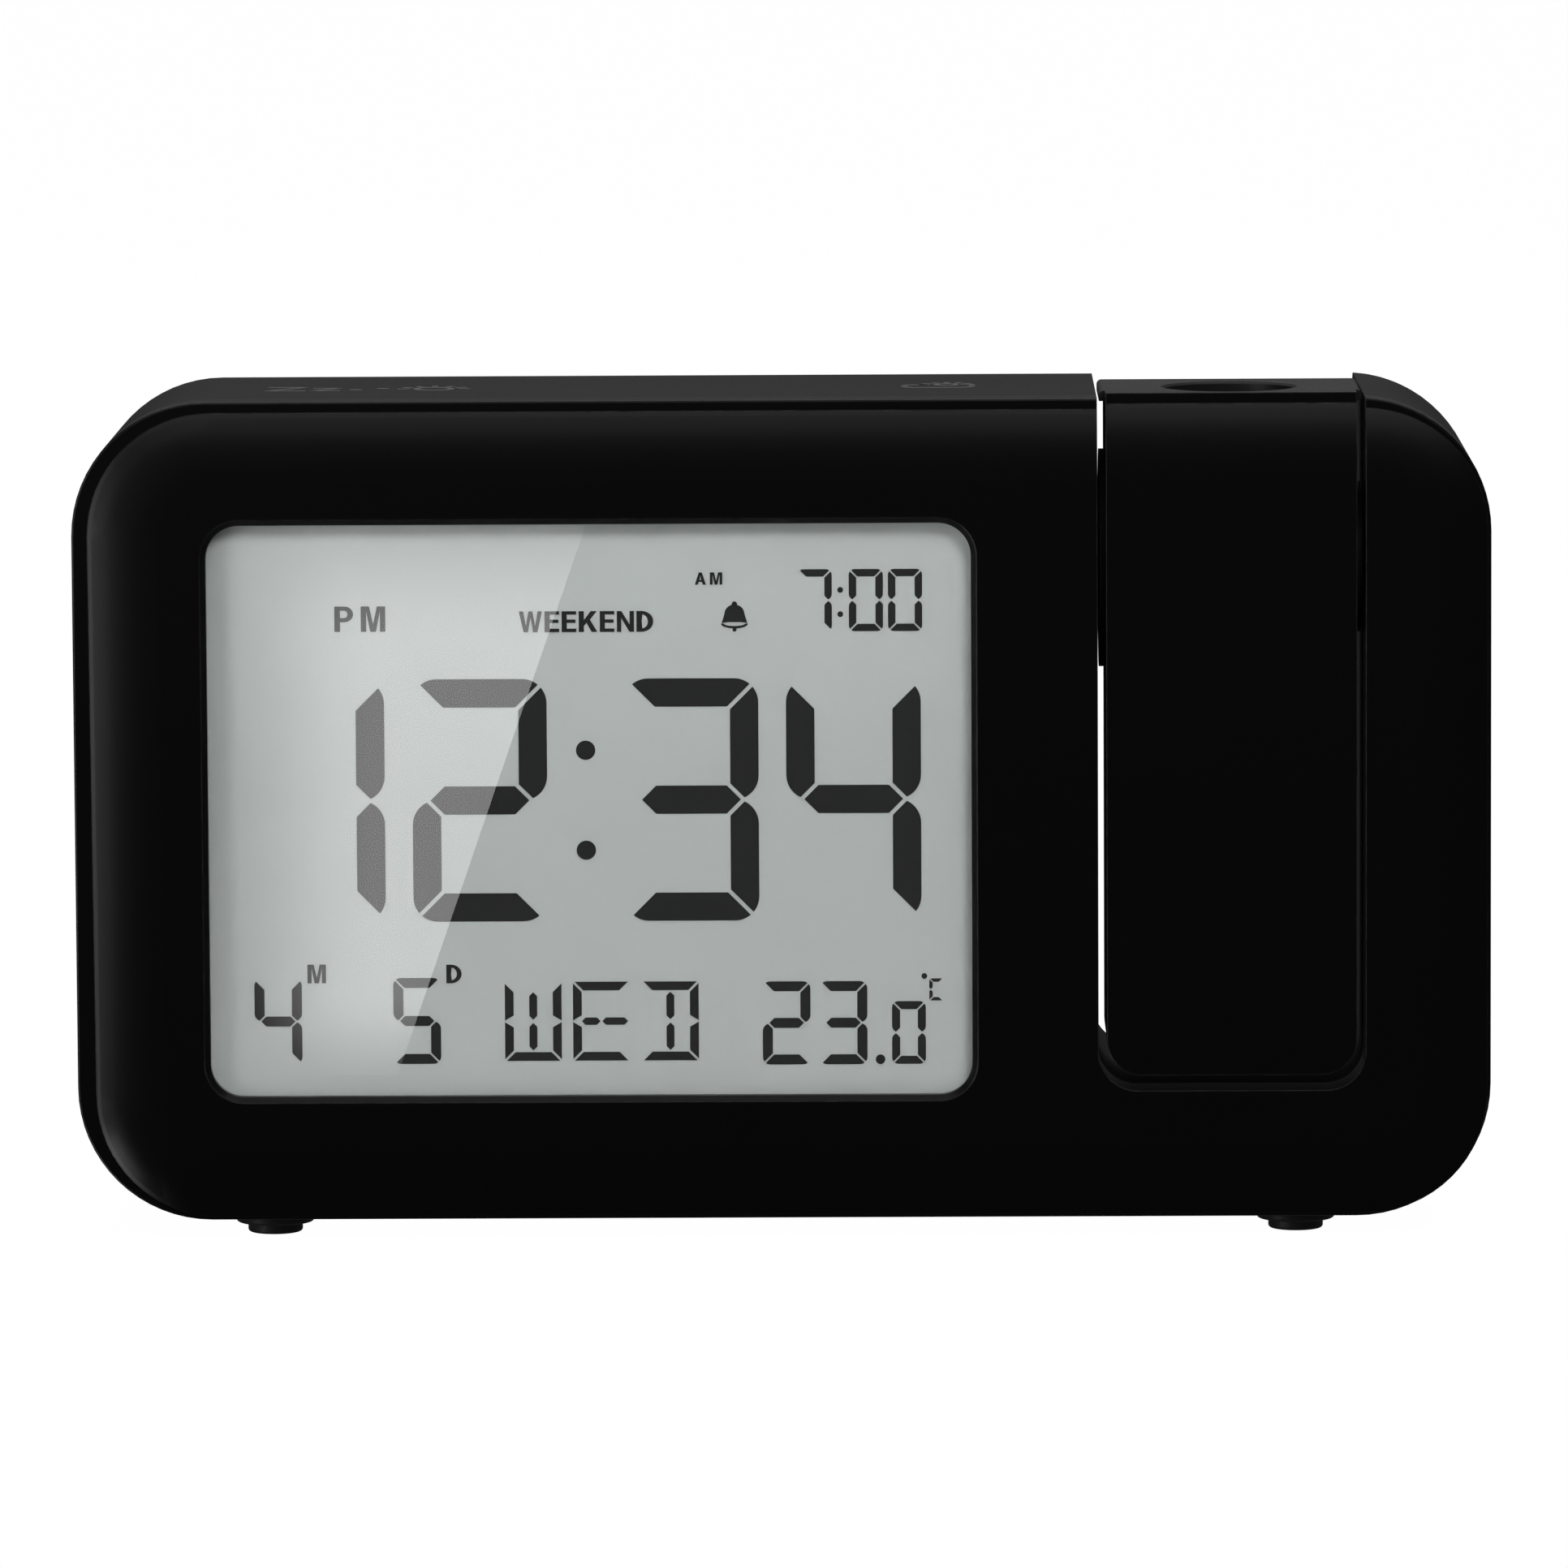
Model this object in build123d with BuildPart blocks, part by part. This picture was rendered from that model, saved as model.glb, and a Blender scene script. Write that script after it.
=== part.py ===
"""Projection alarm clock: a desk clock with a display and a projector arm that swings in a slot.

Millimetres. X runs to the right of somebody who reads the display, Y runs from the face to
the back, Z runs up. The origin is on the table, under the middle of the case.
"""

import os

from build123d import *

os.makedirs("parts", exist_ok=True)

# ---------------------------------------------------------------- case
CASE_W = 174.5            # width
CASE_D = 45.0             # depth
CASE_BASE_Z = 2.5         # underside above the table, the height of the feet
CASE_TOP_Z = 103.9        # top surface above the table
CASE_R = 16.5             # corners in front view
WALL = 2.2                # wall of the rear housing
REAR_EDGE_R = 3.0         # rounding round the back
PARTING_D = 6.8           # depth of the bezel, measured from the face
LIP_T = 1.0               # locating lip of the bezel
LIP_L = 1.5
LIP_GAP = 0.1             # clearance between the lip and the housing

# ---------------------------------------------------------------- crowned face
RIM_TOP = 1.35            # width of the narrow rim round the crowned panel
RIM_LEFT = 1.9
RIM_RIGHT = 0.4
RIM_BASE = 0.4
RIM_LEAN = 0.5            # how much further in the panel's left edge stands at the bottom
RIM_STEP = 0.3            # height of the panel's edge above the rim
RIM_EDGE_R = 0.3
CROWN_FALL = 1.64         # fall of the crowned border
CROWN_W = 4.5             # width of the border before it is rounded
CROWN_R = 24.0            # rounding of the border
FACE_T = 4.0              # thickness of the panel

# ---------------------------------------------------------------- display
WIN_LEFT_BORDER = 15.85   # face left of the window opening
WIN_SLOT_BORDER = 14.85   # face between the opening and the slot of the arm
WIN_TOP_BORDER = 14.4
WIN_BASE_BORDER = 14.8
WIN_R = 4.8
WIN_BEVEL = 0.7
WIN_LAND = 1.8            # bezel thickness left in front of the window
POCKET_RIM = 4.6          # how far the pocket behind the window reaches past the opening
FIT = 0.15                # clearance of pieces that drop into a pocket
STACK_GAP = 0.1           # gap between the layers of the display
WINDOW_T = 1.2
LCD_GLASS_T = 1.0         # each of the two glass plates
LCD_LEDGE = 2.6           # contact ledge under the rear glass plate
BACKLIGHT_T = 3.0
HOLDER_WALL = 1.6
HOLDER_BACK_T = 1.2
HOLDER_SHELF = 3.0        # width of the holder's frame behind the backlight
ZEBRA_T = 2.0
BOARD_T = 1.6
BOARD_SIDE = 2.3          # how far the main board stays inside the holder's sides
EAR_R = 2.4
EAR_T = 1.6
EAR_OVERLAP = 0.3         # how far the ears sink into the holder's wall
EAR_INSET = 17.0          # ears inside the holder's left and right ends
BOARD_PILOT_R = 0.8
BOARD_SCREW_HEAD_R = 1.7
BOARD_SCREW_HEAD_T = 1.2
BOARD_SCREW_L = 5.0
BOARD_HOLE_R = 1.1
CHIP_T = 1.2
BLOB_R = 7.0              # sealing drop over the main chip
BLOB_T = 1.6
CAP_CAN_R = 3.0           # can capacitors
CAP_CAN_L = 7.0
SOCKET_W = 12.0           # plug sockets
SOCKET_H = 4.5
SOCKET_T = 5.0

# ---------------------------------------------------------------- projector arm
PILLAR_W = 15.5           # pillar of the case right of the arm's slot
SILL_H = 15.95            # case under the slot
ARM_W = 30.8
ARM_D = 24.0
ARM_PROUD = 0.65          # how far the arm's top stands above the case
ARM_R = 4.4               # lower corners in front view
ARM_GAP = 1.05            # gap on each side of the arm
SWING_GAP = 0.77          # clearance of the arm's lower edge over the slot's floor as it swings
SLOT_R = 4.8
ARM_WALL = 1.6
ARM_FACE_T = 2.8
ARM_BACK_R = 1.6          # rounding of the arm's back edges
CAP_T = 1.3               # top cap
CAP_LIP = 0.75            # how far its lips stand out at each side
CAP_LIP_D = 6.0           # where the lips start behind the face
CAP_EDGE_R = 0.6
LENS_HOLE_R = 8.1
LENS_HOLE_EDGE = 0.3

# ---------------------------------------------------------------- pivot
PIVOT_DROP = 21.15        # axis below the top of the arm
SHAFT_R = 3.6
BEARING_GAP = 0.05        # running clearance of the trunnions
COLLAR_L = 3.0            # bearing collar inside the slot wall
COLLAR_WALL = 1.45
LEAD_R = 1.9              # passage for the lead through the left trunnion
PAD_T = 0.75              # pads between the arm and the slot walls
LEFT_PAD_W = 19.0
LEFT_PAD_H = 27.0
RIGHT_PAD_R = 9.3
HUB_FLANGE_R = 6.0
HUB_FLANGE_T = 1.2
WASHER_T = 0.5
RETAINER_R = 6.0
RETAINER_T = 1.6
SEAT_GAP = 0.02           # clearance of pieces pushed or clamped onto each other

# ---------------------------------------------------------------- projector optics
TUBE_R = 8.8              # optical tube
TUBE_BORE_R = 8.0
TUBE_L = 38.0
TUBE_TOP_DROP = 8.4       # tube's upper end below the top of the arm
TUBE_FLANGE_T = 1.6
OPTIC_LEDGE_T = 1.0
CONDENSER_Z = 8.0         # seats above the lower end of the tube
SLIDE_Z = 16.0
CONDENSER_R = 7.8
CONDENSER_T = 1.6
CONDENSER_DOME = 2.6
SLIDE_W = 10.8
SLIDE_T = 1.4
LED_R = 2.5
LED_L = 5.5
LED_RIM_R = 2.9
LED_TIP_R = 2.25          # rounding of the lamp's tip
CARRIER_R = 7.92
CARRIER_L = 9.0
CARRIER_NECK_R = 6.3
CARRIER_NECK_L = 8.6
CARRIER_BORE_R = 5.0
CARRIER_TOP_DROP = 5.0    # upper end of the carrier below the top of the arm, at rest
LENS_R = 5.6
LENS_T = 1.0
LENS_DOME = 1.0
RING_R = 7.9              # focus ring
RING_BORE_R = 6.45
RING_FLANGE_R = 8.7
RING_FLANGE_T = 1.8
RING_TOP_DROP = 1.7
RING_NOTCHES = 12
RING_NOTCH_R = 0.75
RUN_GAP = 0.2             # running clearance between turning pieces
DRIVER_W = 15.0           # projector driver board
DRIVER_GAP = 1.8          # clearance under the lamp's board
ARM_POST_GAP = 0.8        # gap between the arm's screw posts and its side walls
ARM_POST_RISE = 10.0      # lower posts above the arm's lower end
ARM_POST_DROP = 6.3       # upper posts below the optical tube's lower end
ARM_POST_R = 2.4
ARM_SCREW_R = 1.0
ARM_SCREW_HEAD_R = 1.9
ARM_SCREW_HEAD_T = 1.3
ARM_SCREW_L = 11.0
ARM_SCREW_SINK = 2.4      # depth of the screw recess

# ---------------------------------------------------------------- case screws and posts
POST_R = 3.0
POST_GAP = 0.6            # gap between a post and the wall beside it
POST_PILOT_R = 1.3
BOSS_R = 3.9
BOSS_L = 8.2              # boss inside the rear wall
SCREW_R = 1.25
SCREW_L = 12.0
SCREW_HEAD_R = 2.4
SCREW_HEAD_T = 1.8
SCREW_SINK = 4.2          # depth of the screw recess
SCREW_CLEAR = 0.3
DRIVE_W = 1.2             # cross recess in a screw head, as a share of the head's radius
DRIVE_T = 0.3
LEFT_POST_INSET = 17.7    # above the underside and below the top of the case
MID_POST_INSET = 8.0
PILLAR_POST_INSET = 12.0  # above the underside
PILLAR_POST_DROP = 25.4   # below the axis of the arm

# ---------------------------------------------------------------- feet
FOOT_INSET_X = 23.85      # middle of a foot inside the case's end
FOOT_INSET_Y = 9.5
FOOT_R = 4.85
FOOT_TOE_R = 3.4
FOOT_TOE_H = 1.25
FOOT_PEG_R = 1.5
FOOT_PEG_H = 2.0
FOOT_EDGE_R = 0.4

# ---------------------------------------------------------------- battery compartment
CELL_R = 5.25             # two small round cells
CELL_L = 43.7
CELL_NUB_R = 1.9
CELL_NUB_L = 0.8
CELL_GAP = 0.6
SPRING_L = 5.0
SPRING_WIRE_R = 0.3
SPRING_TURNS = 3
SPRING_CONE = 0.2         # how much smaller each turn is than the one before, as a share
CONTACT_T = 0.4
BAY_INSET_X = 20.5        # compartment's inner end from the case's left end
BAY_INSET_Z = 11.0        # compartment's lower side above the underside
BAY_WALL = 1.5
DOOR_T = 1.3
DOOR_SINK = 0.1           # door's outer face below the back of the case
DOOR_LAP = 1.6            # overlap of the door on its ledge, left, right and at the top
DOOR_GAP = 0.25
DOOR_R = 1.5
TAB_W = 6.0
TAB_X = 15.0
TAB_T = 1.1
TAB_REACH = 1.0
TAB_CLEAR = 0.2
GRIP_W = 14.0             # finger recess at the door's upper edge
GRIP_H = 4.0
GRIP_RIBS = 3

# ---------------------------------------------------------------- keys
KEY_INSET = 36.85         # middle of the key field left of the slot
KEY_DROP = 31.9           # middle of the key field below the top
KEY_PITCH_X = 15.0
KEY_PITCH_Z = 12.5
KEY_W = 8.4
KEY_H = 5.4
KEY_GAP = 0.3
KEY_FLANGE = 0.9
KEY_FLANGE_T = 1.2
KEY_TRAVEL = 0.8
KEY_CROWN_R = 0.6
FIELD_MARGIN = 4.0
FIELD_D = 1.0             # depth of the recessed key field
FIELD_R = 4.0
TACT_W = 6.0
TACT_T = 3.5
TACT_PLUNGER_R = 1.7
TACT_PLUNGER_L = 0.8
TACT_PIN_GAP = 0.1

# ---------------------------------------------------------------- slide switch
SLIDE_DROP = 24.5         # slide switch below the middle of the key field
SLIDE_TRAVEL = 4.0
KNOB_W = 4.0
KNOB_H = 3.0
KNOB_GAP = 0.25
KNOB_RIBS = 3
KNOB_PLATE_T = 1.0
SWITCH_H = 6.0
SWITCH_FIELD_W = 18.0
SWITCH_FIELD_H = 8.0

# ---------------------------------------------------------------- power inlet, speaker, vents
JACK_INSET = 16.85        # inlet left of the slot
JACK_RISE = 17.5          # inlet above the underside
JACK_W = 9.0
JACK_H = 11.0
JACK_L = 13.5
JACK_NOSE_R = 3.8
JACK_BORE_R = 2.75
JACK_BORE_L = 9.5
JACK_PIN_R = 1.0
JACK_RIB_T = 1.6
SPEAKER_INSET = 29.25     # middle of the speaker from the case's left end
SPEAKER_DROP = 33.9
SPEAKER_R = 14.0
SPEAKER_T = 4.6
MAGNET_R = 8.4            # speaker's narrow rear half
CONE_ANGLE = 30.0
SPEAKER_RIB_T = 1.4
SPEAKER_RIB_L = 5.0
GRILLE_SLOTS = 7
GRILLE_SLOT_H = 1.6
GRILLE_PITCH = 3.2
GRILLE_R = 12.0
BRACKET_T = 1.2
BRACKET_EAR = 4.0
VENT_RISE = 17.5
VENT_SLOTS = 4
VENT_L = 12.0
VENT_H = 1.4
VENT_PITCH = 3.2
SENSOR_R = 1.6
SENSOR_L = 4.0

# ---------------------------------------------------------------- touch plates under the top
SNOOZE_INSET = 35.75      # middle of the snooze plate from the case's left end
LIGHT_INSET = 19.35       # middle of the light plate left of the slot
TOUCH_Y = 1.5
SNOOZE_W = 38.0
LIGHT_W = 18.0
TOUCH_D = 20.0
TOUCH_T = 0.6

# ---------------------------------------------------------------- worked out from the above
FRONT_Y = -CASE_D / 2
BACK_Y = CASE_D / 2
PARTING_Y = FRONT_Y + PARTING_D
CROWN_Y = FRONT_Y + CROWN_FALL
RIM_Y = CROWN_Y + RIM_STEP
FACE_BACK_Y = FRONT_Y + FACE_T
REAR_WALL_Y = BACK_Y - WALL
CASE_H = CASE_TOP_Z - CASE_BASE_Z
CASE_MID_Z = (CASE_TOP_Z + CASE_BASE_Z) / 2
BEZEL_WALL = WALL + LIP_GAP + LIP_T

PANEL_LEFT = -CASE_W / 2 + RIM_LEFT
PANEL_RIGHT = CASE_W / 2 - RIM_RIGHT
PANEL_TOP_Z = CASE_TOP_Z - RIM_TOP
PANEL_BASE_Z = CASE_BASE_Z + RIM_BASE
PANEL_CORNERS = [
    (PANEL_LEFT, PANEL_TOP_Z),
    (PANEL_RIGHT, PANEL_TOP_Z),
    (PANEL_RIGHT, PANEL_BASE_Z),
    (PANEL_LEFT + RIM_LEAN, PANEL_BASE_Z),
]

SLOT_W = ARM_W + 2 * ARM_GAP
SLOT_RIGHT = CASE_W / 2 - PILLAR_W
SLOT_LEFT = SLOT_RIGHT - SLOT_W
SLOT_FLOOR_Z = CASE_BASE_Z + SILL_H
ARM_X = SLOT_RIGHT - SLOT_W / 2
ARM_LEFT = ARM_X - ARM_W / 2
ARM_RIGHT = ARM_X + ARM_W / 2
ARM_BACK_Y = FRONT_Y + ARM_D
ARM_INNER_Y = FRONT_Y + ARM_FACE_T
ARM_REAR_WALL_Y = ARM_BACK_Y - ARM_WALL
PIVOT_Y = FRONT_Y + ARM_D / 2
ARM_TOP_Z = CASE_TOP_Z + ARM_PROUD
PIVOT_Z = ARM_TOP_Z - PIVOT_DROP
SWING_R = PIVOT_Z - SLOT_FLOOR_Z - SWING_GAP
ARM_BOTTOM_Z = PIVOT_Z - (SWING_R**2 - (ARM_D / 2) ** 2) ** 0.5
CAP_SEAT_Z = ARM_TOP_Z - CAP_T

WIN_LEFT = -CASE_W / 2 + WIN_LEFT_BORDER
WIN_RIGHT = SLOT_LEFT - WIN_SLOT_BORDER
WIN_BASE_Z = CASE_BASE_Z + WIN_BASE_BORDER
WIN_TOP_Z = CASE_TOP_Z - WIN_TOP_BORDER
WIN_W = WIN_RIGHT - WIN_LEFT
WIN_H = WIN_TOP_Z - WIN_BASE_Z
WIN_X = (WIN_LEFT + WIN_RIGHT) / 2
WIN_Z = (WIN_BASE_Z + WIN_TOP_Z) / 2
POCKET_Y = FRONT_Y + WIN_LAND
POCKET_W = WIN_W + 2 * POCKET_RIM
POCKET_H = WIN_H + 2 * POCKET_RIM
POCKET_R = WIN_R
LCD_Y = POCKET_Y + WINDOW_T + STACK_GAP
LCD_T = 2 * LCD_GLASS_T
BACKLIGHT_Y = LCD_Y + LCD_T + STACK_GAP
HOLDER_BACK_Y = BACKLIGHT_Y + BACKLIGHT_T + STACK_GAP + HOLDER_BACK_T
HOLDER_W = POCKET_W - 2 * FIT
HOLDER_H = POCKET_H - 2 * FIT
LCD_W = HOLDER_W - 2 * HOLDER_WALL - 2 * FIT
LCD_H = HOLDER_H - 2 * HOLDER_WALL - 2 * FIT
BOARD_BACK_Y = HOLDER_BACK_Y + BOARD_T
EAR_FRONT_Y = HOLDER_BACK_Y - EAR_T
EAR_Z = HOLDER_H / 2 + EAR_R - EAR_OVERLAP
EAR_X = HOLDER_W / 2 - EAR_INSET
EARS = [(WIN_X + side * EAR_X, WIN_Z + end * EAR_Z) for side in (-1, 1) for end in (-1, 1)]
BOARD_W = HOLDER_W - 2 * BOARD_SIDE
BOARD_H = 2 * (EAR_Z + EAR_R)

POST_INSET = BEZEL_WALL + POST_R + POST_GAP
LEFT_POST_X = -CASE_W / 2 + POST_INSET
MID_POST_X = SLOT_LEFT - POST_INSET
PILLAR_X = (SLOT_RIGHT + CASE_W / 2) / 2
POSTS = [
    (LEFT_POST_X, CASE_BASE_Z + LEFT_POST_INSET),
    (LEFT_POST_X, CASE_TOP_Z - LEFT_POST_INSET),
    (MID_POST_X, CASE_BASE_Z + MID_POST_INSET),
    (MID_POST_X, CASE_TOP_Z - MID_POST_INSET),
    (PILLAR_X, CASE_BASE_Z + PILLAR_POST_INSET),
    (PILLAR_X, PIVOT_Z - PILLAR_POST_DROP),
]
BOSS_END_Y = REAR_WALL_Y - BOSS_L
POST_END_Y = BOSS_END_Y - STACK_GAP
SCREW_SEAT_Y = BACK_Y - SCREW_SINK
POST_PILOT_L = SCREW_SEAT_Y - POST_END_Y + SCREW_L / 2

TUBE_TOP_Z = ARM_TOP_Z - TUBE_TOP_DROP
TUBE_LOW_Z = TUBE_TOP_Z - TUBE_L
ARM_POST_X = ARM_W / 2 - ARM_WALL - ARM_POST_R - ARM_POST_GAP
ARM_POST_LOW_Z = ARM_BOTTOM_Z + ARM_POST_RISE
ARM_POSTS = [
    (ARM_X + side * ARM_POST_X, post_z)
    for side in (-1, 1)
    for post_z in (ARM_POST_LOW_Z, TUBE_LOW_Z - ARM_POST_DROP)
]
ARM_SCREW_SEAT_Y = ARM_BACK_Y - ARM_SCREW_SINK
SHAFT_L = ARM_GAP + WALL + COLLAR_L + WASHER_T + RETAINER_T + 3 * STACK_GAP
COLLAR_END = WALL + COLLAR_L + STACK_GAP

BAY_W = CELL_NUB_L + CELL_L + SPRING_L + 2 * CONTACT_T + 2 * FIT
BAY_H = 4 * CELL_R + 3 * CELL_GAP
DOOR_FACE_Y = BACK_Y - DOOR_SINK
DOOR_BACK_Y = DOOR_FACE_Y - DOOR_T
LEDGE_Y = DOOR_BACK_Y - DOOR_SINK
CELL_Y = DOOR_BACK_Y - CELL_GAP - CELL_R
BAY_FLOOR_Y = CELL_Y - CELL_R - CELL_GAP
BAY_X = -CASE_W / 2 + BAY_INSET_X + BAY_W / 2
BAY_LOW_Z = CASE_BASE_Z + BAY_INSET_Z
BAY_HIGH_Z = BAY_LOW_Z + BAY_H
BAY_Z = (BAY_LOW_Z + BAY_HIGH_Z) / 2
CELL_ROWS = (BAY_LOW_Z + CELL_GAP + CELL_R, BAY_HIGH_Z - CELL_GAP - CELL_R)
CELL_ENDS = list(zip(CELL_ROWS, (1, -1)))    # the lower cell points right, the upper one left
CELL_SHIFT = (SPRING_L - CELL_NUB_L) / 2
SPRING_PITCH = (SPRING_L - 2 * SPRING_WIRE_R) / SPRING_TURNS
DOOR_W = BAY_W + 2 * DOOR_LAP - 2 * DOOR_GAP
DOOR_LOW_Z = BAY_LOW_Z + DOOR_GAP
DOOR_HIGH_Z = BAY_HIGH_Z + DOOR_LAP - DOOR_GAP

KEY_BACK_Y = REAR_WALL_Y - TAB_CLEAR
KEY_FRONT_Y = KEY_BACK_Y - KEY_FLANGE_T
PLUNGER_Y = KEY_FRONT_Y - KEY_TRAVEL - TACT_PIN_GAP
TACT_Y = PLUNGER_Y - TACT_PLUNGER_L
KEY_BOARD_Y = TACT_Y - TACT_T
KEY_BOARD_FRONT_Y = KEY_BOARD_Y - BOARD_T
KEY_X = SLOT_LEFT - KEY_INSET
KEY_Z = CASE_TOP_Z - KEY_DROP
SLIDE_X = KEY_X
SLIDE_ROW_Z = KEY_Z - SLIDE_DROP
KEYS = {
    "key_set": (KEY_X - KEY_PITCH_X, KEY_Z + KEY_PITCH_Z / 2),
    "key_plus": (KEY_X, KEY_Z + KEY_PITCH_Z / 2),
    "key_minus": (KEY_X + KEY_PITCH_X, KEY_Z + KEY_PITCH_Z / 2),
    "key_alarm": (KEY_X - KEY_PITCH_X, KEY_Z - KEY_PITCH_Z / 2),
    "key_mode": (KEY_X, KEY_Z - KEY_PITCH_Z / 2),
    "key_flip": (KEY_X + KEY_PITCH_X, KEY_Z - KEY_PITCH_Z / 2),
}
FIELD_W = 2 * KEY_PITCH_X + KEY_W + 2 * FIELD_MARGIN
FIELD_H = KEY_PITCH_Z + KEY_H + 2 * FIELD_MARGIN
KNOB_PLATE_W = KNOB_W + 2 * SLIDE_TRAVEL
KNOB_REST_X = SLIDE_X - SLIDE_TRAVEL / 2
SWITCH_W = KNOB_PLATE_W + SLIDE_TRAVEL
KEY_TAB_LOW_Z = SLIDE_ROW_Z - SWITCH_H
KEY_TAB_H = KEY_Z - KEY_TAB_LOW_Z
KEY_POSTS = [(KEY_X + side * KEY_PITCH_X / 2, KEY_Z) for side in (-1, 1)]

JACK_X = SLOT_LEFT - JACK_INSET
JACK_Z = CASE_BASE_Z + JACK_RISE
SPEAKER_X = -CASE_W / 2 + SPEAKER_INSET
SPEAKER_Z = CASE_TOP_Z - SPEAKER_DROP
SPEAKER_Y = REAR_WALL_Y - STACK_GAP
BRACKET_Y = REAR_WALL_Y - SPEAKER_RIB_L - STACK_GAP
BRACKET_X = SPEAKER_R + SPEAKER_RIB_T + BRACKET_EAR
BAY_END_X = BAY_X + BAY_W / 2 + BAY_WALL
JACK_RIB_X = JACK_X - JACK_W / 2 - FIT - JACK_RIB_T
VENT_X = (BAY_END_X + JACK_RIB_X) / 2
VENT_Z = CASE_BASE_Z + VENT_RISE
SNOOZE_X = -CASE_W / 2 + SNOOZE_INSET
LIGHT_X = SLOT_LEFT - LIGHT_INSET
FOOT_X = CASE_W / 2 - FOOT_INSET_X
FOOT_Y = CASE_D / 2 - FOOT_INSET_Y

LED_BOARD_W = ARM_W - 2 * ARM_WALL - 2 * RUN_GAP
LED_BOARD_D = ARM_REAR_WALL_Y - ARM_INNER_Y - 2 * RUN_GAP
LED_BOARD_Y = (ARM_REAR_WALL_Y + ARM_INNER_Y) / 2
CARRIER_TOP_Z = ARM_TOP_Z - CARRIER_TOP_DROP
CARRIER_STEP_Z = CARRIER_TOP_Z - CARRIER_NECK_L
CARRIER_LOW_Z = CARRIER_STEP_Z - CARRIER_L
RING_TOP_Z = ARM_TOP_Z - RING_TOP_DROP
RING_LOW_Z = TUBE_TOP_Z + RUN_GAP
RING_STEP_Z = RING_LOW_Z + RING_FLANGE_T
DRIVER_LOW_Z = ARM_POST_LOW_Z
DRIVER_TOP_Z = TUBE_LOW_Z - BOARD_T - DRIVER_GAP
DRIVER_H = DRIVER_TOP_Z - DRIVER_LOW_Z


def front_plane(y):
    """Plane parallel to the face at depth y; extruding by a plus amount goes to the front."""
    return Plane.XZ.offset(-y)


def level(z):
    """Horizontal plane at height z."""
    return Plane.XY.offset(z)


def side_plane(x):
    """Upright plane across the clock at width x; a sketch on it sees y and z."""
    return Plane.YZ.offset(x)


def case_outline(inset=0.0, mode=Mode.ADD):
    """Front outline of the case, drawn inset by a distance."""
    with Locations((0, CASE_MID_Z)):
        RectangleRounded(CASE_W - 2 * inset, CASE_H - 2 * inset, CASE_R - inset, mode=mode)


def slot_outline(grow=0.0, mode=Mode.SUBTRACT):
    """Slot for the arm, open at the top, with a rounded floor, drawn larger by a distance."""
    low = SLOT_FLOOR_Z - grow
    high = CASE_TOP_Z + 2 * (SLOT_R + grow)
    with Locations((ARM_X, (low + high) / 2)):
        RectangleRounded(SLOT_W + 2 * grow, high - low, SLOT_R + grow, mode=mode)


def arm_outline(inset=0.0, top=ARM_TOP_Z):
    """Front outline of the arm with rounded lower corners, cut off flat at a height."""
    low = ARM_BOTTOM_Z + inset
    high = top + 2 * ARM_R
    width = ARM_W - 2 * inset
    with Locations((ARM_X, (low + high) / 2)):
        RectangleRounded(width, high - low, ARM_R - inset)
    with Locations((ARM_X, (top + high) / 2)):
        Rectangle(width, high - top, mode=Mode.SUBTRACT)


def circles_at(places, radius):
    """One circle at each place of the current sketch."""
    with Locations(*places):
        Circle(radius)


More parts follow.
